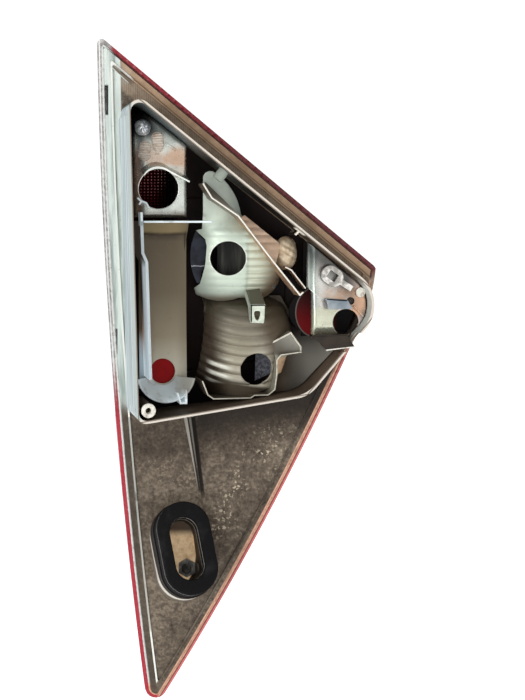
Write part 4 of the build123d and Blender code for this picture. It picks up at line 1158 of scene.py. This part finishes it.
INSIDE = dark_inside()
FIN = fin_coat()
EGG = egg_coat()
SKIRT = skirt_coat()
PALE = pale_wall()
LIT = lit_wall()
ARM = arm_coat()
PEACH = tinted_metal("peach_metal", srgb(228, 200, 176), srgb(206, 176, 150))
PAD = pale_plastic("pad_coat", srgb(214, 204, 192), srgb(176, 152, 132))
SPOT = pale_plastic("spot_coat", srgb(236, 234, 226), srgb(176, 160, 140))
BLUE = tinted_metal("blue_metal", srgb(112, 124, 134), srgb(158, 168, 174))
BROWN = tinted_metal("brown_metal", srgb(46, 37, 29), srgb(28, 22, 17))
finishes = {
    "housing": housing_plastic(),
    "locating_bush": pale_plastic("bush_plastic", srgb(226, 224, 216), srgb(160, 150, 136)),
    "boss_gasket": foam(),
    "fixing_nut": steel("fixing_steel", srgb(86, 86, 86), srgb(138, 136, 132), 0.5, 0.2),
    "fixing_stud": steel("stud_steel", srgb(110, 106, 100), srgb(170, 166, 160), 0.35),
    "red_lens": lens_red(),
    "clear_lens": lens_clear(),
    "lens_seal": bead_plastic(),
    "reflex_reflector": red_optic("red_prism", srgb(90, 6, 10), srgb(160, 16, 20), lambda f: f.noise(30.0)),
    "tail_reflector": tail_chrome(),
    "reflector_stake": steel("stake_metal", srgb(150, 158, 166), srgb(240, 243, 245), 0.15),
    "tail_optic": red_optic(
        "red_optic", srgb(8, 2, 3), srgb(92, 14, 18), lambda f: f.x.above(8.0, 24.0), grid=True
    ),
    "side_reflector": panel_coat(),
    "side_optic": red_optic("side_red", srgb(122, 2, 7), srgb(166, 4, 12), lambda f: f.noise(90.0)),
    "indicator_reflector": mint_metal(),
    "indicator_optic": dark_plastic(
        "smoked_optic", srgb(78, 78, 72), srgb(24, 24, 24), stretch=(1.0, 1.0, 0.02), scale=90.0
    ),
    "indicator_screen": dark_plastic("screen_dark", srgb(44, 48, 58), srgb(28, 30, 38), scratch=108.0),
    "reversing_reflector": beige_metal(),
    "reversing_optic": dark_plastic("grained_optic", srgb(124, 126, 136), srgb(78, 80, 88), scale=420.0),
    "corner_reflector": corner_chrome(),
    "corner_optic": corner_red(),
    "corner_clip": steel("clip_steel", srgb(150, 148, 144), srgb(236, 234, 230), 0.2),
}
for node, finish in finishes.items():
    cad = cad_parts[node]
    cad.data.materials.clear()
    cad.data.materials.append(finish.material)


def boss_ring():
    """Foam ring: at each turn the section runs up the outside, over a rounded top and down the inside.

    A point of the section is inner + share (outer - inner) in the ring's plane, at a height below its top.
    """
    turns = 160
    outer = stadium(RING_LENGTH, RING_WIDTH, turns)[:, None, :]
    inner = stadium(RING_HOLE_LENGTH, RING_HOLE_WIDTH, turns)[:, None, :]
    turn = np.linspace(0, np.pi / 2, 6)
    edge = 0.13
    depth = 1.4
    share = np.concatenate([[1.0], 1 - edge + edge * np.cos(turn), edge - edge * np.sin(turn), [0.0]])
    rise, fall = depth * (1 - np.sin(turn)), depth * (1 - np.cos(turn))
    drop = np.concatenate([[RING_THICK], rise, fall, [RING_THICK]])
    flat = inner + share[None, :, None] * (outer - inner)
    points = on_ring(flat, -drop[None, :] + np.zeros((turns, 1)))
    ring = into_mesh("boss_ring", points, wrap=(True, True), sharp=60)
    dress("boss_gasket", [ring])


def bush_ring():
    """Locating bush: flange with a rounded front edge, shank and bore."""
    turn = np.linspace(0, np.pi / 2, 5)
    front = [(2.2, 0.6), (2.6, 0.0), *zip(4.9 + 0.7 * np.sin(turn), 0.7 * (1 - np.cos(turn)))]
    ring = turned_ring("bush_ring", (0.0, 0.0), [*front, (5.6, 1.5), (3.6, 1.5), (3.6, 9.0), (2.2, 9.0)])
    dress("locating_bush", [ring])


def lens_front(x, z):
    """Depth of the lens front: a height above the weld plane that falls with the square of both distances."""
    across = (x - LENS_CENTRE[0]) * 1.0225
    along = z - LENS_CENTRE[1]
    height = LENS_HEIGHT - across**2 / (2 * LENS_SWEEP) - along**2 / (2 * LENS_RISE)
    return weld_depth(x, z) + height / WELD_NORMAL_Y


def lens_shell():
    """Red lens: on each ray from the window's middle, over the bowed front, round the edge, down the side and
    under the foot. Every row lies a fixed distance inside the lamp outline.

    The side leans in by draft from the foot to the front, more at the top than at the bottom.
    """
    window = rounded(WINDOW[::-1], [WINDOW_ROUND] * len(WINDOW))
    centre = np.array(WINDOW_MIDDLE)
    angles = ray_angles(centre, even_steps(lamp_outline(), 420), 60)
    spread = np.array([0.0, 2.2, 4.0, 5.0, 6.0, FOOT_WIDTH, 8.0, 9.0, 11.0])
    reaches = np.stack([ray_reach(centre, inset_outline(d), angles) for d in spread], axis=1)
    side_z = centre[1] + reaches[:, 0] * np.sin(angles)
    draft = 1.0 + 5.0 * smooth(-20.0, 60.0, side_z)
    turn = np.linspace(0, np.pi / 2, 6)[1:]
    round_edge = 3.0

    def row(inset):
        """Reach of each ray to the outline moved in by its own inset."""
        place = np.clip(np.searchsorted(spread, inset) - 1, 0, len(spread) - 2)
        share = (inset - spread[place]) / (spread[place + 1] - spread[place])
        rays = np.arange(len(angles))
        return (1 - share) * reaches[rays, place] + share * reaches[rays, place + 1]

    near = ray_reach(centre, window, angles)
    front = near[:, None] + np.linspace(0, 1, 60)[None, :] * (row(draft + round_edge) - near)[:, None]
    edge = np.stack([row(draft + round_edge * (1 - np.sin(t))) for t in turn], axis=1)
    side = np.stack([row(draft / 2), reaches[:, 0], reaches[:, 0]], axis=1)
    under = np.stack([reaches[:, 1], reaches[:, 5]], axis=1)
    radius = np.concatenate([front, edge, side, under], axis=1)
    x = centre[0] + radius * np.cos(angles)[:, None]
    z = centre[1] + radius * np.sin(angles)[:, None]
    foot = weld_depth(x, z)
    y = lens_front(x, z)
    first = front.shape[1]
    last = first + len(turn)
    y[:, first:last] -= round_edge * (1 - np.cos(turn))
    y[:, last] = (y[:, last - 1] + foot[:, last] + FOOT_THICK) / 2
    y[:, last + 1] = foot[:, last + 1] + FOOT_THICK
    y[:, last + 2:] = foot[:, last + 2:]
    points = np.stack([x, y, z], axis=-1)
    shell = into_mesh("lens_shell", points, wrap=(True, False), toward=(0, 1, 0), sharp=50)
    dress("red_lens", [shell])
    thicken(shell, LENS_WALL, INSIDE)


def window_insert():
    """Clear insert of the lens: the same bowed front inside the window's outline."""
    window = rounded(WINDOW[::-1], [WINDOW_ROUND] * len(WINDOW))
    insert = patch("window_insert", WINDOW_MIDDLE, window, lens_front, turns=160, rings=40, toward=(0, 1, 0))
    dress("clear_lens", [insert])
    thicken(insert, LENS_WALL, INSIDE)


def weld_bead():
    """Rough bead between the lens foot and the flange: a round section that swells and thins along it."""
    count = 700
    line = even_steps(inset_outline(BEAD_INSET), count)
    run = np.roll(line, -1, axis=0) - np.roll(line, 1, axis=0)
    run /= np.linalg.norm(run, axis=1)[:, None]
    side = np.stack([-run[:, 1], run[:, 0]], axis=1)
    t = np.linspace(0, 2 * np.pi, 8, endpoint=False)[None, :]
    random = np.random.default_rng(7)
    girth = 0.75 + 0.22 * random.random((count, 1)) + 0.10 * random.random((count, 8))
    spot = line[:, None, :] + side[:, None, :] * (girth * np.cos(t))[..., None]
    depth = weld_depth(spot[..., 0], spot[..., 1]) - 0.5 + girth * np.sin(t)
    points = np.stack([spot[..., 0], depth, spot[..., 1]], axis=-1)
    bead = into_mesh("weld_bead", points, wrap=(True, True))
    dress("lens_seal", [bead])


def tail_height(x, z):
    """Depth of the tail plate: flat, falling back towards its left edge and its top left corner."""
    return TAIL_DEPTH + 3.0 * smooth(4.0, -7.0, x) + 4.0 * smooth(204.0, 224.0, z) * smooth(16.0, 0.0, x)


def pad_height(x, z, centre, degrees):
    """Depth of a grip pad: a flat-topped stadium with cross ribs, each a raised cosine along its length."""
    c, s = np.cos(np.radians(degrees)), np.sin(np.radians(degrees))
    across = (x - centre[0]) * c + (z - centre[1]) * s
    along = (z - centre[1]) * c - (x - centre[0]) * s
    straight = (PAD_LENGTH - PAD_WIDTH) / 2
    share = np.hypot(across, np.maximum(np.abs(along) - straight, 0)) / (PAD_WIDTH / 2)
    ribs = 0.36 * (1 + np.cos(2 * np.pi * along / 1.9)) * smooth(1.0, 0.7, share)
    return tail_height(x, z) - 0.1 - 1.2 * (1 - np.clip(share, 0, 1) ** 3) - ribs


def tail_reflector():
    """Plate round the tail bulb hole, visor over it, ribbed grip pads, short rib and the broken edge."""
    slope = (RIM[1][1] - RIM[0][1]) / (RIM[1][0] - RIM[0][0])
    right = 34.0
    low, high = (RIM[0][1] + slope * (x - RIM[0][0]) - 3.2 for x in (right, 2.0))
    corners = [(-7.0, 145.6), (right, 145.6), (right, low), (2.0, high), (-7.0, high - 3.0)]
    plate_sheet = round_hole(
        "tail_plate", TAIL_HOLE, TAIL_BORE, [corners], tail_height, rings=50, roll=3.5,
        back=lambda x, z: weld_depth(x, z) + 4.0,
    )
    brow = arc_points((-1.5, 178.0), (8.0, 184.3), (18.5, 181.6), 16)
    visor = np.concatenate([brow, [(26.4, 177.5), (34.3, 173.5)]])
    hood = between_lines("tail_visor", at_depth(visor, 11.0), at_depth(visor + np.array([0.0, 4.0]), 25.0))
    pieces = [thicken(plate_sheet, 1.2), soften(thicken(hood, 1.4), 0.2)]
    for index, (x, z, degrees) in enumerate([(11.6, 203.4, 4.0), (1.6, 196.6, -6.0)]):
        outline = turned(stadium(PAD_LENGTH, PAD_WIDTH, 60), (x, z), degrees)
        pad = patch(
            f"tail_pad_{index}", (x, z), outline, lambda u, v, p=(x, z), d=degrees: pad_height(u, v, p, d),
            turns=120, rings=40,
        )
        dress("tail_reflector", [thicken(pad, 0.6)], PAD)
    pieces.append(soften(wall_strip("tail_rib", [(17.6, 202.3), (25.3, 197.0)], 1.4, 21.0, 25.0), 0.25))
    dress("tail_reflector", pieces)
    breaks = [[(-4.6, 161.0), (-1.6, 158.0), (-3.4, 155.6)], [(-1.2, 158.4), (2.2, 157.0), (4.6, 152.6)]]
    shards = [wall_strip(f"tail_break_{k}", line, 1.3, 21.5, 24.5) for k, line in enumerate(breaks)]
    dress("tail_reflector", shards, PALE, soft=0.3)


def stake_dome():
    """Melted stake: a dome, sin and cos of the fall from its top, whose skin is lifted by crossed waves."""
    turn = np.linspace(0, 2 * np.pi, 72, endpoint=False)[None, :]
    fall = np.linspace(0.03, np.pi / 2, 26)[:, None]
    lumps = 0.35 * np.sin(3 * turn + 1.0) * np.sin(2 * fall) + 0.25 * np.sin(5 * turn - 4 * fall)
    radius = (STAKE_RADIUS + 0.5 * lumps) * np.sin(fall)
    depth = TAIL_DEPTH - (STAKE_HEIGHT + lumps) * np.cos(fall)
    x = radius * np.cos(turn)
    z = STAKE_Z + radius * np.sin(turn)
    points = np.stack([x, depth, z], axis=-1)
    dome = into_mesh("stake_dome", points, wrap=(False, True), toward=VIEWER, caps=(0,))
    dress("reflector_stake", [dome])


def tail_pillows():
    """Red optic behind the tail hole: rows of small pillows, each a product of two half cosines."""
    corners = [(-6.4, 144.4), (28.7, 144.4), (28.7, 203.0), (2.0, 224.0), (-6.4, 221.0)]

    def pillows(x, z):
        bumps = np.abs(np.cos(np.pi * x / PILLOW_WIDTH) * np.cos(np.pi * z / PILLOW_HEIGHT))
        return weld_depth(x, z) + 8.0 - 1.1 * np.sqrt(bumps)

    sheet = patch("tail_pillows", TAIL_HOLE, corners, pillows, turns=220, rings=110)
    dress("tail_optic", [sheet])
    thicken(sheet, 0.5)


def panel_height(x, z):
    """Depth of the tall panel: a shallow bow along its height, folded towards the viewer above the crease."""
    bow = COLUMN_DEPTH + 1.5 * (1 - ((z - 72.0) / 60.0) ** 2)
    fold = COLUMN_DEPTH - 14.0 * (z - CREASE) / 10.7
    return np.where(z > CREASE, fold, np.where(z > COLUMN_FOOT, bow, COLUMN_DEPTH))


def side_reflector():
    """Tall panel round its bulb hole, shelf, side wall with its stub, half funnel below the hole, hook."""
    corners = [(-1.0, COLUMN_FOOT), (36.5, COLUMN_FOOT), (36.5, 142.6), (-1.0, 142.6)]
    panel = round_hole("side_panel", SIDE_HOLE, SIDE_BORE, [corners], panel_height, rings=90, lip=0.5)
    dress("side_reflector", [thicken(panel, 1.6)])

    s = np.linspace(0, 1, 10)[None, :]
    radius = 10.4 + 11.8 * s**0.9
    start = np.pi + np.arcsin(4.0 / radius)
    angle = start + np.linspace(0, 1, 60)[:, None] * (3 * np.pi - 2 * start)
    x = SIDE_HOLE[0] + radius * np.cos(angle)
    z = SIDE_HOLE[1] + radius * np.sin(angle)
    y = 41.0 - 17.0 * s + 0 * angle
    funnel = thicken(into_mesh("side_funnel", np.stack([x, y, z], axis=-1), toward=(0, -1, 1)), 1.2)
    plan = np.array([(-1.0, 12.0), (51.2, 12.0), (49.0, 32.0), (34.5, 32.0), (34.5, 40.0), (-1.0, 40.0)])
    shelf = np.stack([plan[:, 0], plan[:, 1], np.full(len(plan), SHELF_TOP)], axis=1)
    wall_line = [(-2.6, 143.3), (-1.9, 119.0), (1.1, 112.0), (3.6, 22.0)]
    hook = [(25.4, 11.0), (27.7, 2.6), (32.3, 2.6), (32.3, 13.5)]
    pieces = [
        funnel,
        slab("side_shelf", shelf, shelf - np.array([0.0, 0.0, 1.6])),
        wall_strip("side_stub", [(-2.9, 150.0), (-2.6, 139.5)], 2.0, 12.0, 23.5),
        wall_strip("side_hook", hook, 1.4, 20.0, 44.0),
    ]
    dress("side_reflector", pieces, PALE, soft=0.3)
    dress("side_reflector", [wall_strip("side_wall", wall_line, 2.0, 12.0, 56.0)], LIT, soft=0.3)


def corner_height(x, z):
    """Depth of the corner plate: its left strip curves away, and it is dished round the clip and the foot."""
    dish = 2.5 * np.exp(-((x - 148.0) ** 2 + (z - 96.0) ** 2) / 300.0)
    strip = 5.0 * smooth(136.0, CORNER_LEFT, x) ** 2
    return CORNER_DEPTH + strip + dish + 2.5 * smooth(62.0, CORNER_BOTTOM, z)


def spot_height(x, z):
    """Depth of the hatched spot: a low disc under a grid of small pyramids."""
    return CORNER_DEPTH - 1.2 - 0.35 * (np.abs(np.sin(2.2 * (x + z))) + np.abs(np.sin(2.2 * (x - z))))


def corner_reflector():
    """Plate round the corner bulb hole with its tab, skirt, fin, hatched spot and small eye."""
    window = [
        (130.6, CORNER_BOTTOM), (190.0, CORNER_BOTTOM), (190.0, 140.0),
        (CORNER_LEFT, 140.0), (CORNER_LEFT, 92.0), (130.6, 88.5),
    ]
    outlines = [rim_outline(WALL + SEAT), window]
    sheet = round_hole("corner_plate", CORNER_HOLE, CORNER_BORE, outlines, corner_height, rings=60, roll=2.0)
    t = np.linspace(0, 2 * np.pi, 40, endpoint=False)
    spot = CORNER_SPOT + CORNER_SPOT_RADIUS * np.stack([np.cos(t), np.sin(t)], axis=1)
    pieces = [
        thicken(sheet, 1.6),
        soften(wall_strip("corner_fin", [(163.3, 77.0), (171.0, 68.6)], 1.2, 9.5, 14.0), 0.25),
    ]
    dress("corner_reflector", pieces)
    hatched = patch("corner_spot", CORNER_SPOT, spot, spot_height, turns=90, rings=30)
    dress("corner_reflector", [hatched], SPOT)
    tab = [(140.2, 83.4), (157.5, 82.0), (162.0, 74.8), (141.9, 75.0)]
    tabs = [
        plate("corner_tab", tab, 7.0, 8.6),
        wall_strip("corner_tab_root", [(140.2, 82.6), (157.5, 81.2)], 1.6, 7.0, 14.0),
    ]
    dress("corner_reflector", tabs, BLUE, soft=0.4)
    skirt = [(128.6, 54.3), (139.3, 43.4), (162.2, 45.7), (156.1, 55.0)]
    eye = [(2.5, 12.2), (2.9, 12.2), (2.9, 14.0), (0.2, 14.0), (0.2, 13.4), (2.5, 13.4)]
    flaps = [
        plate("corner_skirt", skirt, 3.0, 4.8),
        wall_strip("corner_skirt_root", [skirt[0], skirt[3]], 1.6, 3.0, 14.0),
        turned_ring("corner_eye", (161.4, 80.8), eye),
    ]
    dress("corner_reflector", flaps, BROWN, soft=0.3)
    hem = wall_strip("corner_skirt_hem", [skirt[1], skirt[2]], 0.9, 2.6, 4.9)
    dress("corner_reflector", [hem], SPOT, soft=0.2)


def indicator_height(x, z):
    """Depth of the indicator bowl: a barrel about an upright axis, with flutes, eased into a flat leaf.

    The barrel's radius is girth sqrt(1 - (h / reach)^2) plus a scallop of crest |cos| for each flute, which
    is deeper to the right.
    """
    h = z - BARREL_Z
    reach = np.where(h > 0, BARREL_REACH_UP, BARREL_REACH_DOWN)
    scallop = (0.3 + 0.9 * smooth(77.0, 83.0, x)) * np.abs(np.cos(np.pi * h / FLUTE_PITCH))
    scallop = scallop * smooth(36.0, 26.0, h) * smooth(-26.0, -18.0, h)
    girth = BARREL_GIRTH * np.sqrt(np.clip(1 - (h / reach) ** 2, 0.05, 1)) + scallop
    barrel = BARREL_Y - np.sqrt(np.clip(girth**2 - (x - BARREL_X) ** 2, 60.0, None))
    leaf = 33.0 + 0.012 * (x - 62.0) ** 2 - 0.03 * (z - 150.0)
    return barrel + (leaf - barrel) * smooth(131.0, 150.0, z)


def indicator_reflector():
    """Fluted bowl with its leaf, the long fin with its flap and second wall, the bulge, the keyhole arm."""
    crown = arc_points((48.3, 175.0), (51.5, 181.5), (58.0, 180.0), 6)
    leaf_edge = arc_points((58.0, 180.0), (70.5, 168.0), (78.6, 148.0), 10)
    shoulder = arc_points((111.0, 104.0), (107.5, 90.0), (98.0, 82.5), 8)
    foot = arc_points((76.5, 83.0), (58.0, 80.6), (46.5, 85.0), 10)
    corners = [
        (48.3, 137.0), *crown[:-1], *leaf_edge, (106.5, 126.5), *shoulder, *foot, (44.4, 90.0),
        (47.4, 94.1), (50.1, 108.6), (51.3, 123.6), (50.5, 128.8), (44.1, 135.9),
    ]
    bowl = round_hole("indicator_bowl", INDICATOR_HOLE, INDICATOR_BORE, [corners], indicator_height, rings=80)
    thicken(bowl, 1.6)
    dress("indicator_reflector", [bowl])

    egg_outline = turned(stadium(27.0, 17.4, 48), EGG_CENTRE, -8.0)
    egg = patch("indicator_egg", EGG_CENTRE, egg_outline, egg_height, turns=96, rings=30)
    dress("indicator_reflector", [egg], EGG)
    thicken(egg, 1.2)

    flap = np.array([(52.0, 16.0, 160.5), (73.7, 16.0, 146.7), (49.1, 33.0, 172.9)])
    cheek = [CHEEK_CORNER, (78.5, 147.8), (107.5, 125.6), (106.0, 118.0), (103.0, 109.5)]
    fin = [(45.1, 172.0), (52.0, 160.8), (72.7, 147.0), (102.2, 109.2), (121.4, 85.7), (124.2, 88.0)]
    ribs = [
        wall_strip("indicator_fin", fin, 1.4, 16.0, 36.0),
        wall_strip("indicator_fin_wall", [(110.5, 107.5), (115.5, 105.0), (127.0, 90.5)], 1.2, 20.0, 32.0),
        slab("indicator_flap", flap, flap + np.array([0.5, 0.8, 0.8])),
    ]
    dress("indicator_reflector", ribs, FIN, soft=0.3)
    face = thicken(patch("indicator_cheek", (91.0, 131.0), cheek, cheek_height, turns=160, rings=50), 1.4)
    dress("indicator_reflector", [face], PEACH)
    keyhole_arm()


def cheek_height(x, z):
    """Depth of the cheek beside the fin: a plane that falls away from the fin, under the bowl's flutes."""
    away = (x - CHEEK_CORNER[0]) * 0.79 + (z - CHEEK_CORNER[1]) * 0.61
    return 20.5 + 0.34 * away - 0.28 * np.abs(np.cos(np.pi * (z - BARREL_Z) / FLUTE_PITCH))


def egg_height(x, z):
    """Depth of the bulge: half an ellipsoid with shallow dents, in front of the bowl's right shoulder."""
    share = ((x - EGG_CENTRE[0]) / 9.6) ** 2 + ((z - EGG_CENTRE[1]) / 14.0) ** 2
    dome = np.sqrt(np.clip(1 - share, 0, 1))
    dents = 0.55 * np.sin(0.95 * x + 0.35 * z) * np.sin(0.85 * z - 0.2 * x)
    return 34.0 - (14.0 + dents) * dome


def keyhole_arm():
    """Arm below the bowl: sloping top, left cheek, and a front plate round its keyhole."""
    left, right, front = 81.0, 92.8, 12.0
    top = [(left, front, 79.2), (right, front, 79.2), (right, 38.0, 93.6), (left, 38.0, 93.6)]
    side = [(front, 65.0), (front, 79.2), (36.0, 92.6), (33.0, 84.0), (21.0, 77.5), (16.5, 67.0)]
    cheek = [(left, y, z) for y, z in side]
    pieces = [
        slab("key_arm_top", top, np.array(top) - np.array([0.0, 0.0, 1.6])),
        slab("key_arm_cheek", cheek, np.array(cheek) + np.array([1.6, 0.0, 0.0])),
    ]
    t = np.linspace(0, 2 * np.pi, 48, endpoint=False)
    hole = np.stack([2.5 * np.cos(t), 3.6 * np.sin(t) + 0.9 * np.cos(2 * t)], axis=1)
    angles = np.arctan2(hole[:, 1], hole[:, 0])
    corners = [(left, 65.0), (left, 79.2), (right, 79.2), (right - 0.8, 64.2)]
    reach = ray_reach(KEYHOLE, corners, angles)[:, None]
    edge = reach * np.stack([np.cos(angles), np.sin(angles)], axis=1)
    share = np.linspace(0, 1, 5)[None, :, None]
    flat = KEYHOLE + hole[:, None, :] * (1 - share) + edge[:, None, :] * share
    points = np.stack([flat[..., 0], np.full(flat.shape[:2], front), flat[..., 1]], axis=-1)
    face = thicken(into_mesh("key_arm_front", points, wrap=(True, False), toward=VIEWER), 1.8)
    dress("indicator_reflector", [*pieces, face], ARM, soft=0.25)


def reversing_height(x, z):
    """Depth of the reversing bowl: a dome about a leaning axis, with flutes that sag from its middle.

    Found by repeating: height along the axis from the depth, radius from the height, depth from the radius.
    It stays a gap short of the inside of the lens.
    """
    lean_y, lean_z = np.sin(BOWL_LEAN), np.cos(BOWL_LEAN)
    above_foot = z - BOWL_FOOT_SLOPE * (BOWL_FOOT_X - x)
    fade = 1.7 * smooth(112.0, 92.0, x) * smooth(10.5, 15.0, above_foot)
    y = np.full(x.shape, 30.0)
    for _ in range(12):
        h = lean_z * (z - BOWL_Z) - lean_y * (y - BOWL_Y)
        reach = np.where(h > 0, BOWL_REACH_UP, BOWL_REACH_DOWN)
        scallop = fade * np.abs(np.cos(np.pi * (h - BOWL_SAG * (x - BOWL_SAG_X) ** 2) / BOWL_PITCH))
        girth = BOWL_GIRTH * np.sqrt(np.clip(1 - (h / reach) ** 2, 0.05, 1)) + scallop
        front = -np.sqrt(np.clip(girth**2 - (x - BOWL_X) ** 2, 40.0, None))
        y = BOWL_Y + (front - lean_y * (z - BOWL_Z)) / lean_z
    y = y + 1.9 * np.maximum(z - 75.0, 0) * smooth(75.0, 79.0, z)
    return np.minimum(y, lens_front(x, z) - LENS_WALL - BOWL_LENS_GAP)


SKIRT_LINE = [
    (44.8, 19.7), (49.1, 8.6), (53.6, 5.4), (83.0, 5.4), (86.0, 7.4), (97.0, 7.4), (102.4, 11.5),
    (104.0, 23.8), (104.0, 34.8), (107.2, 38.7), (124.0, 40.7),
]
LEDGE_LINE = [(100.7, 48.0), (116.0, 55.6), (124.0, 44.5), (124.0, 40.7)]


def reversing_reflector():
    """Fluted bowl round its bulb hole, the skirt round its foot and the ledge beside it."""
    corners = [
        (52.0, 84.0), (113.0, 84.0), (120.0, 72.0), (121.0, 50.0), (103.0, 40.0), (103.0, 12.0),
        (84.0, 5.8), (54.0, 6.4), (49.4, 10.0), (46.0, 20.0),
    ]
    bowl = round_hole(
        "reversing_bowl", REVERSING_HOLE, REVERSING_BORE, [corners], reversing_height, rings=100
    )
    thicken(bowl, 1.6)
    dress("reversing_reflector", [bowl])
    path = np.array(SKIRT_LINE)
    back = weld_depth(path[:, 0], path[:, 1]) + 3.0
    pieces = [
        wall_strip("reversing_skirt", SKIRT_LINE, 1.2, 20.0, back),
        wall_strip("reversing_ledge_rib", LEDGE_LINE, 1.6, 24.0, 36.0),
        plate("reversing_ledge", [*LEDGE_LINE, (104.0, 34.8)], 25.0, 27.0),
        plate("reversing_web", [(104.8, 36.4), (114.0, 38.6), (109.0, 24.0), (104.8, 22.0)], 27.5, 29.0),
    ]
    dress("reversing_reflector", pieces, SKIRT, soft=0.35)


boss_ring()
bush_ring()
lens_shell()
window_insert()
weld_bead()
tail_reflector()
stake_dome()
tail_pillows()
side_reflector()
indicator_reflector()
reversing_reflector()
corner_reflector()


def aim(item, place):
    """Puts a light or the camera at a place, in millimetres, and points it at the camera's target."""
    item.location = Vector(place) * MM
    item.rotation_euler = (Vector(CAMERA_TARGET) - Vector(place)).to_track_quat("-Z", "Y").to_euler()
    bpy.context.scene.collection.objects.link(item)


def studio():
    """White floor, soft light from the left and the front, a pale world and the camera of the photograph."""
    angle = np.linspace(0, 2 * np.pi, 64, endpoint=False)[None, :]
    radius = np.linspace(1.0, 9000.0, 12)[:, None]
    low = cad_low.z / MM - 60.0
    points = np.stack([radius * np.cos(angle), radius * np.sin(angle), low + 0 * radius * angle], axis=-1)
    floor = into_mesh("studio_floor", points, wrap=(False, True), toward=(0, 0, 1), caps=(0,))
    pale = Finish("studio_floor", emission_color=(1.0, 1.0, 1.0, 1.0), emission_strength=0.9)
    pale.done((pale.noise(3.0) * 0.1).blend((0.9, 0.9, 0.9), (0.86, 0.86, 0.86)), 0.9)
    floor.data.materials.append(pale.material)

    world = bpy.data.worlds.new("studio")
    bpy.context.scene.world = world
    world.use_nodes = True
    sky = Tree(world.node_tree)
    direction = sky.node("ShaderNodeTexCoord", out="Generated")
    stops = [
        (0.0, (0.06, 0.05, 0.05)), (0.5, (0.18, 0.16, 0.14)), (0.8, (0.6, 0.6, 0.6)), (1.0, (0.9, 0.9, 0.9)),
    ]
    light = sky.ramp(sky.along(direction, (-0.38, -0.30, 0.10)) + 0.5, stops)
    seen = sky.node("ShaderNodeLightPath", out="Is Camera Ray")
    sky.put(world.node_tree.nodes["Background"].inputs["Color"], seen.blend(light, (1.1, 1.1, 1.1)))

    # Name, place, size, power and tint of each light
    lights = [
        ("key", (-1000.0, -900.0, 300.0), 600.0, 6.0, (1.0, 0.99, 0.97)),
        ("fill", (600.0, -1200.0, 250.0), 900.0, 1.5, (1.0, 0.96, 0.91)),
        ("front", (900.0, 1100.0, 700.0), 1400.0, 7.0, (1.0, 1.0, 1.0)),
    ]
    for name, place, size, power, tint in lights:
        lamp = bpy.data.lights.new(name, "AREA")
        lamp.size = size * MM
        lamp.energy = power
        lamp.color = tint
        aim(bpy.data.objects.new(name, lamp), place)

    view = bpy.data.cameras.new("photo_camera")
    view.sensor_width = SENSOR
    view.lens = FOCAL_PIXELS / FRAME_HEIGHT * SENSOR
    view.clip_end = 50.0
    camera = bpy.data.objects.new("photo_camera", view)
    aim(camera, CAMERA_PLACE)
    bpy.context.scene.camera = camera
    bpy.context.scene.view_settings.view_transform = "Standard"


studio()
